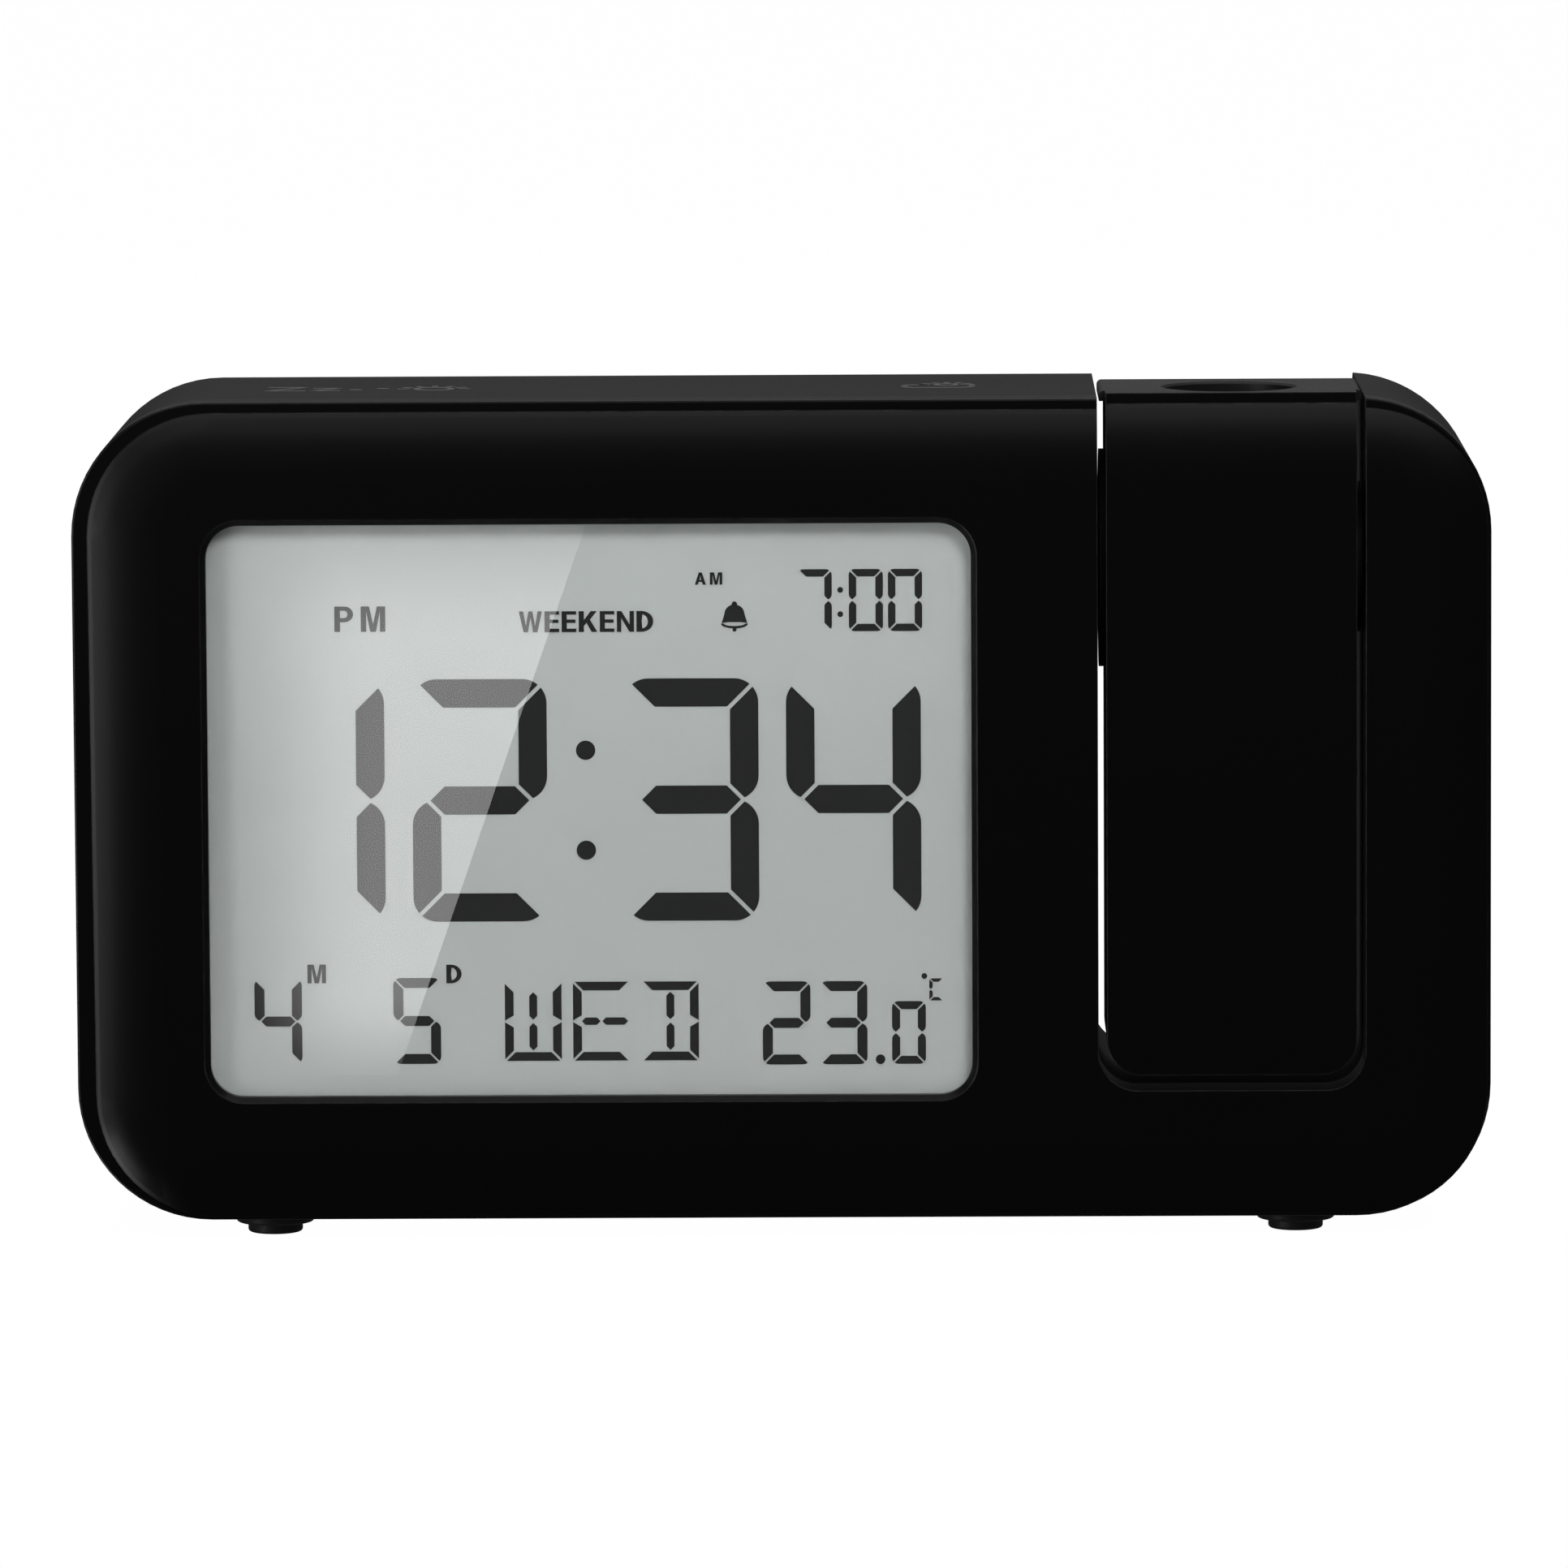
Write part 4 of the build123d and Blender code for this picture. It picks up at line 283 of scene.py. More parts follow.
class Effects:
    """Builds the shared effects once and hands them out."""

    def __init__(self) -> None:
        """Builds every group."""
        self.grain = self._grain()
        self.edge_wear_and_highlight = self._wear_and_highlight_mask()
        self.haze = self._haze()
        self.brush = self._brush()
        self.soft_edge = self._soft_edge()

    def _grain(self) -> bpy.types.NodeTree:
        """Fine spark-eroded texture of a moulding.

        Returns:
            The group, which puts out a height and a mask of its pits.
        """
        broad_share, pit_range = 0.22, (0.25, 0.5)
        effect = Effect("moulded_grain", (("Scale", FLOAT, 2500.0), ("Coarse", FLOAT, 0.3)),
                        (("Height", FLOAT), ("Pits", FLOAT)))
        tree, graph, given, made = effect.tree()
        place = graph.place()
        fine = graph.noise(place, given.outputs["Scale"], detail=3.0, roughness=0.6)
        broad = graph.noise(place, graph.math("MULTIPLY", given.outputs["Scale"], broad_share))
        weighted = graph.math("MULTIPLY", broad, given.outputs["Coarse"])
        graph.feed(made.inputs["Height"], graph.math("ADD", fine, weighted))
        graph.feed(made.inputs["Pits"], graph.scale(fine, 1.0, 0.0, *pit_range))
        return tree

    def _wear_and_highlight_mask(self) -> bpy.types.NodeTree:
        """Mask of the sharp outer edges of a piece, broken up by noise: scuffs, and on the satin face a
        painted highlight line.

        Returns:
            The group, which puts out a mask that is high on sharp outer edges.
        """
        edge_radius, sharp_range, rim_range = 0.00022, (0.5, 0.53), (0.93, 0.996)
        gap_range, least_wear_and_highlight = (0.35, 0.65), 0.2
        effect = Effect("edge_wear_and_highlight_mask", (("Amount", FLOAT, 0.5), ("Breakup", FLOAT, 400.0)),
                        (("Mask", FLOAT),))
        tree, graph, given, made = effect.tree()
        geometry = graph.add("ShaderNodeNewGeometry")
        sharp = graph.scale(geometry.outputs["Pointiness"], 0.0, 1.0, *sharp_range)
        rounded = graph.add("ShaderNodeBevel", samples=4)
        rounded.inputs["Radius"].default_value = edge_radius
        turned = graph.add("ShaderNodeVectorMath", operation="DOT_PRODUCT")
        graph.feed(turned.inputs[0], rounded.outputs["Normal"])
        graph.feed(turned.inputs[1], geometry.outputs["Normal"])
        rim = graph.scale(turned.outputs["Value"], 1.0, 0.0, *rim_range)
        edge_breakup = graph.noise(graph.place(), given.outputs["Breakup"], detail=4.0, roughness=0.6)
        broken = graph.scale(edge_breakup, least_wear_and_highlight, 1.0, *gap_range)
        # Sharp outer edges, broken up: scuffs, and on the satin face the place of a painted highlight
        # line.
        worn_and_highlit_edge = graph.math("MULTIPLY", graph.math("MULTIPLY", sharp, rim), broken)
        graph.feed(made.inputs["Mask"], graph.math("MULTIPLY", worn_and_highlit_edge, given.outputs["Amount"], clamp=True))
        return tree

    def _haze(self) -> bpy.types.NodeTree:
        """Mask of the thin dust and finger haze that settles on upward and open faces.

        Returns:
            The group, which puts out a mask.
        """
        steep_share, patch_range = 0.25, (0.4, 0.75)
        effect = Effect("settled_haze", (("Amount", FLOAT, 0.2), ("Scale", FLOAT, 60.0)),
                        (("Mask", FLOAT),))
        tree, graph, given, made = effect.tree()
        up = graph.parts_of(graph.add("ShaderNodeNewGeometry").outputs["Normal"])["Z"]
        facing = graph.scale(up, steep_share, 1.0)
        clouds = graph.noise(graph.place(), given.outputs["Scale"], detail=5.0, roughness=0.65)
        laid = graph.math("MULTIPLY", facing, graph.scale(clouds, 0.0, 1.0, *patch_range))
        graph.feed(made.inputs["Mask"], graph.math("MULTIPLY", laid, given.outputs["Amount"], clamp=True))
        return tree

    def _brush(self) -> bpy.types.NodeTree:
        """Fine drawn lines of rolled or turned metal.

        Returns:
            The group, which puts out a height.
        """
        effect = Effect("drawn_lines", (("Scale", FLOAT, 900.0), ("Stretch", FLOAT, 12.0)),
                        (("Height", FLOAT),))
        tree, graph, given, made = effect.tree()
        pull = graph.add("ShaderNodeCombineXYZ")
        for axis, stretch in enumerate((given.outputs["Stretch"], given.outputs["Stretch"], 1.0)):
            graph.feed(pull.inputs[axis], stretch)
        turned = graph.add("ShaderNodeVectorMath", operation="MULTIPLY")
        graph.feed(turned.inputs[0], graph.place())
        graph.feed(turned.inputs[1], pull.outputs[0])
        lines = graph.noise(turned.outputs[0], given.outputs["Scale"], detail=3.0, roughness=0.7)
        graph.feed(made.inputs["Height"], lines)
        return tree

    def _soft_edge(self) -> bpy.types.NodeTree:
        """Normals that run softly round the moulded edges.

        Returns:
            The group, which puts out a normal.
        """
        effect = Effect("soft_edge", (("Radius", FLOAT, 0.0002),), (("Normal", VECTOR),))
        tree, graph, given, made = effect.tree()
        bevel = graph.add("ShaderNodeBevel", samples=6)
        graph.feed(bevel.inputs["Radius"], given.outputs["Radius"])
        graph.feed(made.inputs["Normal"], bevel.outputs["Normal"])
        return tree


DUST = grey(150)        # colour of settled dust
DUST_COVER = 0.25       # share of that colour under full haze
DUST_DULLS = 0.2        # roughness that full haze adds
COAT_ROUGHNESS = 0.12   # roughness of a clear top layer
TINT_CELLS = 45.0       # cells per metre of a finish's change of colour


@dataclass(frozen=True)
class Finish:
    """An opaque finish: a colour that varies, lighter sharp edges (scuffs, and on the satin face a
    painted highlight line), haze and a fine surface texture.

    Attributes:
        name: Name of the material.
        colour: Main colour.
        tint: Colour that the variation leans to.
        roughness: Middle of the roughness.
        swing: How far the roughness varies.
        specular: Strength of the reflection, 0.5 for an untreated surface.
        metallic: 1 for a metal.
        coat: Weight of a clear top layer.
        grain: Grain cells per metre.
        depth: Height of the grain in metres.
        worn_and_highlit_edge: Colour of the sharp edges: a scuff colour, and on the satin face a painted
            highlight.
        edge_wear_and_highlight: How strongly the sharp edges take that colour.
        haze: Amount of dust and finger haze.
        edge: Radius of the softened edges in metres.
        brushed: Whether the texture is drawn lines.
    """

    name: str
    colour: Colour
    tint: Colour
    roughness: float = 0.5
    swing: float = 0.08
    specular: float = 0.5
    metallic: float = 0.0
    coat: float = 0.0
    grain: float = 2500.0
    depth: float = 0.00001
    worn_and_highlit_edge: Colour = (0.05, 0.05, 0.05)
    edge_wear_and_highlight: float = 0.3
    haze: float = 0.1
    edge: float = 0.0
    brushed: bool = False

    def paint(self, graph: Graph) -> bpy.types.NodeSocket:
        """Colour of the surface before the edge colour (scuffs, and painted highlight lines on the satin
        face) and haze.

        Args:
            graph: Graph of the material.

        Returns:
            The colour.
        """
        return graph.blend(graph.noise(graph.place(), TINT_CELLS, detail=3.0), self.colour, self.tint)

    def light(self, graph: Graph, shader: bpy.types.Node) -> bpy.types.NodeSocket:
        """Shader that reaches the material's output; finishes that let light through change it."""
        return shader.outputs[0]

    def group(self, graph: Graph, tree: bpy.types.NodeTree, **values: float) -> bpy.types.Node:
        """Places a shared effect with its own values.

        Args:
            graph: Graph of the material.
            tree: The shared group.
            **values: Values by input name, with an underscore for each space.

        Returns:
            The group's node.
        """
        node = graph.add("ShaderNodeGroup", node_tree=tree)
        for key, value in values.items():
            graph.feed(node.inputs[key.replace("_", " ")], value)
        return node

    def build(self, effects: Effects) -> bpy.types.Material:
        """Makes the material.

        Args:
            effects: The shared groups.

        Returns:
            The material.
        """
        material, graph = blank_material(self.name)
        shader = graph.add("ShaderNodeBsdfPrincipled")
        shader.inputs["Specular IOR Level"].default_value = self.specular
        shader.inputs["Metallic"].default_value = self.metallic
        shader.inputs["Coat Weight"].default_value = self.coat
        shader.inputs["Coat Roughness"].default_value = COAT_ROUGHNESS
        colour = self.paint(graph)
        edge_wear_and_highlight = self.group(graph, effects.edge_wear_and_highlight, Amount=self.edge_wear_and_highlight).outputs["Mask"]
        haze = self.group(graph, effects.haze, Amount=self.haze).outputs["Mask"]
        # Sharp edges take the edge colour: scuffs, and on the satin face painted highlight lines.
        colour = graph.blend(edge_wear_and_highlight, colour, self.worn_and_highlit_edge)
        colour = graph.blend(graph.math("MULTIPLY", haze, DUST_COVER), colour, DUST)
        graph.feed(shader.inputs["Base Color"], colour)
        if self.brushed:
            height = uneven = self.group(graph, effects.brush, Scale=self.grain).outputs["Height"]
        else:
            grain = self.group(graph, effects.grain, Scale=self.grain)
            height, uneven = grain.outputs["Height"], grain.outputs["Pits"]
        rough = graph.scale(uneven, self.roughness - self.swing, self.roughness + self.swing)
        rough = graph.math("ADD", rough, graph.math("MULTIPLY", haze, DUST_DULLS), clamp=True)
        graph.feed(shader.inputs["Roughness"], rough)
        bump = graph.add("ShaderNodeBump")
        bump.inputs["Distance"].default_value = self.depth
        graph.feed(bump.inputs["Height"], height)
        if self.edge:
            soft = self.group(graph, effects.soft_edge, Radius=self.edge)
            graph.feed(bump.inputs["Normal"], soft.outputs["Normal"])
        graph.feed(shader.inputs["Normal"], bump.outputs["Normal"])
        graph.feed(graph.add("ShaderNodeOutputMaterial").inputs["Surface"], self.light(graph, shader))
        return material


@dataclass(frozen=True)
class Clear(Finish):
    """A see-through finish whose shadow rays pass.

    Attributes:
        ior: Index of refraction.
    """

    ior: float = 1.49

    def light(self, graph: Graph, shader: bpy.types.Node) -> bpy.types.NodeSocket:
        """Lets shadow rays through the clear body.

        Args:
            graph: Graph of the material.
            shader: The principled shader.

        Returns:
            The mixed shader.
        """
        shader.inputs["Transmission Weight"].default_value = 1.0
        shader.inputs["IOR"].default_value = self.ior
        passing = graph.add("ShaderNodeBsdfTransparent").outputs[0]
        shadow = graph.add("ShaderNodeLightPath").outputs["Is Shadow Ray"]
        return graph.mix(shadow, shader.outputs[0], passing)


@dataclass(frozen=True)
class Board(Finish):
    """Solder-masked board with copper tracks showing through.

    Attributes:
        track: Colour over the tracks.
        pad: Colour of the pads.
        pitch: Tracks per metre.
        track_edge: Distances from a cell's middle between which a track ends.
        pad_edge: Distances from a cell's middle between which a pad ends.
    """

    track: Colour = (0.02, 0.12, 0.04)
    pad: Colour = rgb(190, 190, 180)
    pitch: float = 260.0
    track_edge: Point = (0.34, 0.4)
    pad_edge: Point = (0.08, 0.12)

    def paint(self, graph: Graph) -> bpy.types.NodeSocket:
        """Draws straight tracks and pads under the mask.

        Args:
            graph: Graph of the material.

        Returns:
            The colour.
        """
        cells = graph.add("ShaderNodeTexVoronoi", distance="CHEBYCHEV", feature="F1")
        graph.feed(cells.inputs["Vector"], graph.place())
        cells.inputs["Scale"].default_value = self.pitch
        tracks = graph.scale(cells.outputs["Distance"], 1.0, 0.0, *self.track_edge)
        pads = graph.scale(cells.outputs["Distance"], 1.0, 0.0, *self.pad_edge)
        return graph.blend(pads, graph.blend(tracks, self.colour, self.track), self.pad)


@dataclass(frozen=True)
class Sleeve(Finish):
    """Printed sleeve of a battery: a band of a second colour towards one end.

    Attributes:
        band: Colour of the band.
        split: Place of the border along X in metres.
        fade: Width of the border in metres.
    """

    band: Colour = (0.6, 0.25, 0.08)
    split: float = -0.034
    fade: float = 0.0004

    def paint(self, graph: Graph) -> bpy.types.NodeSocket:
        """Puts the band on the sleeve.

        Args:
            graph: Graph of the material.

        Returns:
            The colour.
        """
        along = graph.parts_of(graph.place())["X"]
        beyond = graph.scale(along, 0.0, 1.0, self.split, self.split + self.fade)
        return graph.blend(beyond, self.colour, self.band)


@dataclass(frozen=True)
class Panel(Finish):
    """Grey reflective face of a liquid-crystal panel, a little uneven.

    Attributes:
        fibre: Cells per metre of the reflector's fine fibre.
        cloud: Cells per metre of its broad unevenness.
        fibre_share: Weight of the fibre against the broad unevenness.
    """

    fibre: float = 9000.0
    cloud: float = 18.0
    fibre_share: float = 0.4

    def paint(self, graph: Graph) -> bpy.types.NodeSocket:
        """Lays the reflector's fine fibre over the panel.

        Args:
            graph: Graph of the material.

        Returns:
            The colour.
        """
        place = graph.place()
        fine = graph.math("MULTIPLY", graph.noise(place, self.fibre), self.fibre_share)
        broad = graph.math("MULTIPLY", graph.noise(place, self.cloud), 1.0 - self.fibre_share)
        return graph.blend(graph.math("ADD", fine, broad), self.colour, self.tint)


# The satin face's pale edge colour and high edge amount paint thin highlight lines along its edges, in
# place of lit edges.
FACE = Finish("satin_black_face", grey(3), grey(5), roughness=0.34, swing=0.02, specular=0.15,
              grain=5000.0, depth=2e-6, worn_and_highlit_edge=grey(80), edge_wear_and_highlight=0.6, haze=0.004, edge=0.00018)
CASE = Finish("matt_black_case", grey(27), grey(30), roughness=0.6, swing=0.05, specular=0.1,
              grain=2600.0, depth=8e-6, worn_and_highlit_edge=grey(60), edge_wear_and_highlight=0.3, haze=0.06, edge=0.0002)
CAP = Finish("matt_black_cap", grey(22), grey(28), roughness=0.5, swing=0.05, specular=0.25,
             grain=2800.0, depth=8e-6, worn_and_highlit_edge=grey(52), edge_wear_and_highlight=0.3, haze=0.06, edge=0.00012)
WINDOW = Clear("clear_window", grey(252), grey(255), roughness=0.004, swing=0.002, specular=0.5,
               grain=40.0, depth=1e-7, edge_wear_and_highlight=0.0, haze=0.0, ior=1.58)
LCD = Panel("liquid_crystal_face", rgb(166, 171, 169), rgb(163, 168, 166), roughness=0.6, swing=0.03,
            specular=0.05, depth=1e-6, edge_wear_and_highlight=0.0, haze=0.0)
INK = Finish("liquid_crystal_dark", rgb(22, 23, 22), rgb(19, 20, 20), roughness=0.6, swing=0.03,
             specular=0.03, depth=1e-6, worn_and_highlit_edge=grey(34), edge_wear_and_highlight=0.0, haze=0.0)
DIFFUSER = Finish("opal_diffuser", rgb(235, 238, 240), rgb(226, 230, 233), roughness=0.45, swing=0.05,
                  worn_and_highlit_edge=grey(200), haze=0.05)
HOLDER = Finish("white_moulding", rgb(226, 226, 220), rgb(214, 214, 206), roughness=0.5, swing=0.07,
                worn_and_highlit_edge=grey(235), edge_wear_and_highlight=0.2, haze=0.1)
BOARD = Board("green_board", rgb(14, 76, 34), rgb(10, 60, 28), roughness=0.35, swing=0.06,
              worn_and_highlit_edge=rgb(120, 110, 70), edge_wear_and_highlight=0.2, grain=1500.0, depth=6e-6,
              track=rgb(26, 104, 50))
CHIP = Finish("black_package", grey(30), grey(24), roughness=0.55, swing=0.08, worn_and_highlit_edge=grey(70), edge_wear_and_highlight=0.3)
ZEBRA = Finish("pink_elastomer", rgb(208, 120, 128), rgb(196, 104, 114), roughness=0.6, swing=0.06,
               worn_and_highlit_edge=rgb(220, 150, 150), edge_wear_and_highlight=0.1)
RUBBER = Finish("foot_rubber", grey(20), grey(27), roughness=0.62, swing=0.08, specular=0.4,
                grain=1800.0, depth=1.2e-5, worn_and_highlit_edge=grey(50), edge_wear_and_highlight=0.3, haze=0.2)
KEY = Finish("grey_key_cap", rgb(92, 94, 96), rgb(84, 86, 88), roughness=0.45, swing=0.06,
             grain=2600.0, depth=8e-6, worn_and_highlit_edge=rgb(140, 140, 142), edge_wear_and_highlight=0.35, haze=0.08, edge=0.00015)
STEEL = Finish("zinc_screw_steel", rgb(176, 176, 172), rgb(150, 150, 148), roughness=0.34, swing=0.1,
               metallic=1.0, grain=700.0, depth=6e-6, worn_and_highlit_edge=rgb(214, 214, 210), edge_wear_and_highlight=0.5, brushed=True)
NICKEL = Finish("bright_nickel", rgb(198, 196, 188), rgb(184, 180, 170), roughness=0.24, swing=0.08,
                metallic=1.0, grain=900.0, depth=3e-6, worn_and_highlit_edge=rgb(225, 224, 218), edge_wear_and_highlight=0.4, brushed=True)
SLEEVE = Sleeve("battery_sleeve", grey(28), grey(34), roughness=0.28, swing=0.05, coat=0.4,
                worn_and_highlit_edge=rgb(170, 160, 140), edge_wear_and_highlight=0.2, depth=3e-6, band=rgb(186, 122, 58))
COPPER = Finish("copper_foil", rgb(198, 122, 84), rgb(180, 104, 70), roughness=0.32, swing=0.1,
                metallic=1.0, grain=700.0, depth=4e-6, worn_and_highlit_edge=rgb(226, 160, 120), edge_wear_and_highlight=0.4, brushed=True)
SPEAKER = Finish("dark_speaker", rgb(52, 52, 54), rgb(40, 40, 42), roughness=0.42, swing=0.1,
                 worn_and_highlit_edge=grey(120), edge_wear_and_highlight=0.4, haze=0.15)
LENS = Clear("lens_glass", grey(250), grey(255), roughness=0.01, swing=0.005, specular=0.5,
             grain=50.0, depth=2e-7, edge_wear_and_highlight=0.0, haze=0.0, ior=1.55)
LAMP = Clear("red_lamp", rgb(232, 46, 38), rgb(210, 30, 26), roughness=0.12, swing=0.04,
             grain=80.0, depth=1e-6, edge_wear_and_highlight=0.0, haze=0.0, ior=1.5)
SLIDE = Finish("slide_film", rgb(40, 44, 52), rgb(30, 33, 40), roughness=0.2, swing=0.04, coat=0.5,
               worn_and_highlit_edge=grey(80), edge_wear_and_highlight=0.1)
NYLON = Finish("natural_nylon", rgb(222, 218, 202), rgb(208, 203, 186), roughness=0.5, swing=0.08,
               worn_and_highlit_edge=rgb(235, 232, 220), edge_wear_and_highlight=0.2)
TOP_PRINT = Finish("grey_top_print", grey(98), grey(90), roughness=0.4, swing=0.05, specular=0.4,
                   worn_and_highlit_edge=grey(90), edge_wear_and_highlight=0.1, haze=0.03)
REAR_PRINT = Finish("pale_rear_print", grey(196), grey(184), roughness=0.55, swing=0.06,
                    worn_and_highlit_edge=grey(140), edge_wear_and_highlight=0.2, haze=0.05)

NODE_FINISH: dict[str, tuple[str, ...]] = {
    FACE.name: ("front_bezel", "arm_front_shell"),
    CASE.name: ("rear_housing", "arm_rear_shell", "battery_door", "pivot_hub_left", "pivot_hub_right",
                "optical_chassis", "speaker_bracket"),
    CAP.name: ("arm_top_cap", "focus_ring", "lens_carrier"),
    WINDOW.name: ("display_window",),
    LCD.name: ("lcd_panel",),
    DIFFUSER.name: ("lcd_backlight",),
    HOLDER.name: ("lcd_holder",),
    BOARD.name: ("main_board", "key_board", "led_board", "projector_driver"),
    CHIP.name: ("board_components", "power_inlet", "temperature_sensor", "tact_switches"),
    ZEBRA.name: ("lcd_connector",),
    RUBBER.name: ("foot_front_left", "foot_front_right", "foot_rear_left", "foot_rear_right"),
    KEY.name: ("key_set", "key_plus", "key_minus", "key_alarm", "key_mode", "key_flip", "slide_knob"),
    STEEL.name: ("case_screws", "arm_screws", "board_screws", "pivot_retainers"),
    NICKEL.name: ("battery_plates", "battery_springs", "slide_switch"),
    SLEEVE.name: ("battery_cells",),
    COPPER.name: ("snooze_touch_plate", "light_touch_plate"),
    SPEAKER.name: ("speaker",),
    LENS.name: ("condenser_lens", "projection_lens_front", "projection_lens_rear"),
    LAMP.name: ("projector_led",),
    SLIDE.name: ("projection_slide",),
    NYLON.name: ("friction_washers",),
}
FINISHES = (FACE, CASE, CAP, WINDOW, LCD, INK, DIFFUSER, HOLDER, BOARD, CHIP, ZEBRA, RUBBER, KEY, STEEL,
            NICKEL, SLEEVE, COPPER, SPEAKER, LENS, LAMP, SLIDE, NYLON, TOP_PRINT, REAR_PRINT)


# ---------------------------------------------------------------- outlines and plates


class Face(Enum):
    """The plane that a flat mark lies on: its right, its up and its outward direction."""

    FRONT = (Vector((1, 0, 0)), Vector((0, 0, 1)), Vector((0, -1, 0)))
    TOP = (Vector((1, 0, 0)), Vector((0, 1, 0)), Vector((0, 0, 1)))
    REAR = (Vector((-1, 0, 0)), Vector((0, 0, 1)), Vector((0, 1, 0)))

    @property
    def right(self) -> Vector:
        """Direction to the right of a reader."""
        return self.value[0]

    @property
    def up(self) -> Vector:
        """Direction that is up for a reader."""
        return self.value[1]

    @property
    def out(self) -> Vector:
        """Direction out of the surface."""
        return self.value[2]


def arc(centre: Point, radius: float, start: float, end: float, steps: int = 8) -> Outline:
    """Points along an arc.

    Args:
        centre: Middle of the arc.
        radius: Its radius.
        start: First angle in radians.
        end: Last angle in radians.
        steps: Number of spans.

    Returns:
        The points, both ends included.
    """
    turn = (end - start) / steps
    turn = (end - start) / steps
    angles = [start + turn * k for k in range(steps + 1)]
    return [(centre[0] + radius * math.cos(a), centre[1] + radius * math.sin(a)) for a in angles]


def band(centre: Point, radius: float, width: float, start: float, end: float, steps: int = 8) -> Outline:
    """A curved line with square ends.

    Args:
        centre: Middle of the curve.
        radius: Its outer radius.
        width: Width of the line.
        start: First angle in radians.
        end: Last angle in radians.
        steps: Spans along each side.

    Returns:
        The points.
    """
    return arc(centre, radius, start, end, steps) + arc(centre, radius - width, end, start, steps)


def ring(centre: Point, radius: float, width: float, steps: int = 40) -> list[Outline]:
    """A flat ring as two half outlines.

    Args:
        centre: Middle of the ring.
        radius: Its outer radius.
        width: Width of the line.
        steps: Spans along each half.

    Returns:
        The two halves.
    """
    return [band(centre, radius, width, start, start + math.pi, steps) for start in (0.0, math.pi)]


def bar(start: Point, end: Point, width: float) -> Outline:
    """A straight line with square ends.

    Args:
        start: Middle of one end.
        end: Middle of the other end.
        width: Width of the line.

    Returns:
        The four corners.
    """
    along = Vector(end) - Vector(start)
    side = Vector((-along.y, along.x)).normalized() * width / 2
    first, last = Vector(start), Vector(end)
    return [tuple(p) for p in (first - side, last - side, last + side, first + side)]


def lozenge(start: Point, end: Point, width: float) -> Outline:
    """A straight line pointed at both ends.

    Args:
        start: One tip.
        end: The other tip.
        width: Width of the line.

    Returns:
        The six corners.
    """
    span, half = math.dist(start, end), width / 2
    u, v = (end[0] - start[0]) / span * half, (end[1] - start[1]) / span * half
    return [start, (start[0] + u + v, start[1] + v - u), (end[0] - u + v, end[1] - v - u), end,
            (end[0] - u - v, end[1] - v + u), (start[0] + u - v, start[1] + v + u)]


def moved(outlines: list[Outline], right: float, up: float) -> list[Outline]:
    """Shifts outlines.

    Args:
        outlines: The outlines.
        right: Shift to the right.
        up: Shift upwards.

    Returns:
        The shifted outlines.
    """
    return [[(u + right, v + up) for u, v in outline] for outline in outlines]


def place_on(face: Face, point: Point, depth: float) -> Vector:
    """World place, in metres, of a point drawn in millimetres on a face.

    Args:
        face: The plane of the drawing.
        point: Place right and up, in the world's own millimetres along those axes.
        depth: Place along the outward direction, in millimetres.

    Returns:
        The place in metres.
    """
    return (face.right * point[0] + face.up * point[1] + face.out * depth) * MM


def plate(name: str, outlines: list[Outline], face: Face, depth: float, thick: float) -> bpy.types.Object:
    """Builds thin raised plates from flat outlines.

    Args:
        name: Name of the object.
        outlines: Closed outlines in millimetres.
        face: The plane that they lie on.
        depth: Place of their back along the outward direction, in millimetres.
        thick: Their thickness in millimetres.

    Returns:
        The object.
    """
    shape = bmesh.new()
    for outline in outlines:
        low = [shape.verts.new(place_on(face, p, depth)) for p in outline]
        high = [shape.verts.new(place_on(face, p, depth + thick)) for p in outline]
        shape.faces.new(low)
        shape.faces.new(high)
        for k in range(len(outline)):
            after = (k + 1) % len(outline)
            shape.faces.new((low[k], low[after], high[after], high[k]))
    bmesh.ops.recalc_face_normals(shape, faces=shape.faces)
    return mesh_object(name, shape)


def mesh_object(name: str, shape: bmesh.types.BMesh) -> bpy.types.Object:
    """Turns a bmesh into an object of the scene.

    Args:
        name: Name of the object.
        shape: The mesh, which is freed.

    Returns:
        The object.
    """
    mesh = bpy.data.meshes.new(name)
    shape.to_mesh(mesh)
    shape.free()
    made = bpy.data.objects.new(name, mesh)
    bpy.context.scene.collection.objects.link(made)
    return made


@dataclass(frozen=True)
class Box2:
    """A flat box in millimetres on a drawing plane.

    Attributes:
        left: Left edge.
        low: Lower edge.
        right: Right edge.
        high: Upper edge.
    """

    left: float
    low: float
    right: float
    high: float


def oval(centre: Point, wide: float, tall: float, start: float, end: float) -> Outline:
    """Points along an arc that is stretched to a half width and a half height.

    Args:
        centre: Middle of the arc.
        wide: Half its width.
        tall: Half its height.
        start: First angle in radians.
        end: Last angle in radians.

    Returns:
        The points, both ends included.
    """
    return [(centre[0] + wide * u, centre[1] + tall * v) for u, v in arc((0.0, 0.0), 1.0, start, end, 12)]


@dataclass(frozen=True)
class Dot:
    """A round dot.

    Attributes:
        centre: Its middle.
        radius: Its radius.
        sides: Number of its sides.
    """

    centre: Point
    radius: float
    sides: int

    def outline(self) -> Outline:
        """The corners of the dot."""
        return arc(self.centre, self.radius, 0.0, math.tau, self.sides)[:-1]


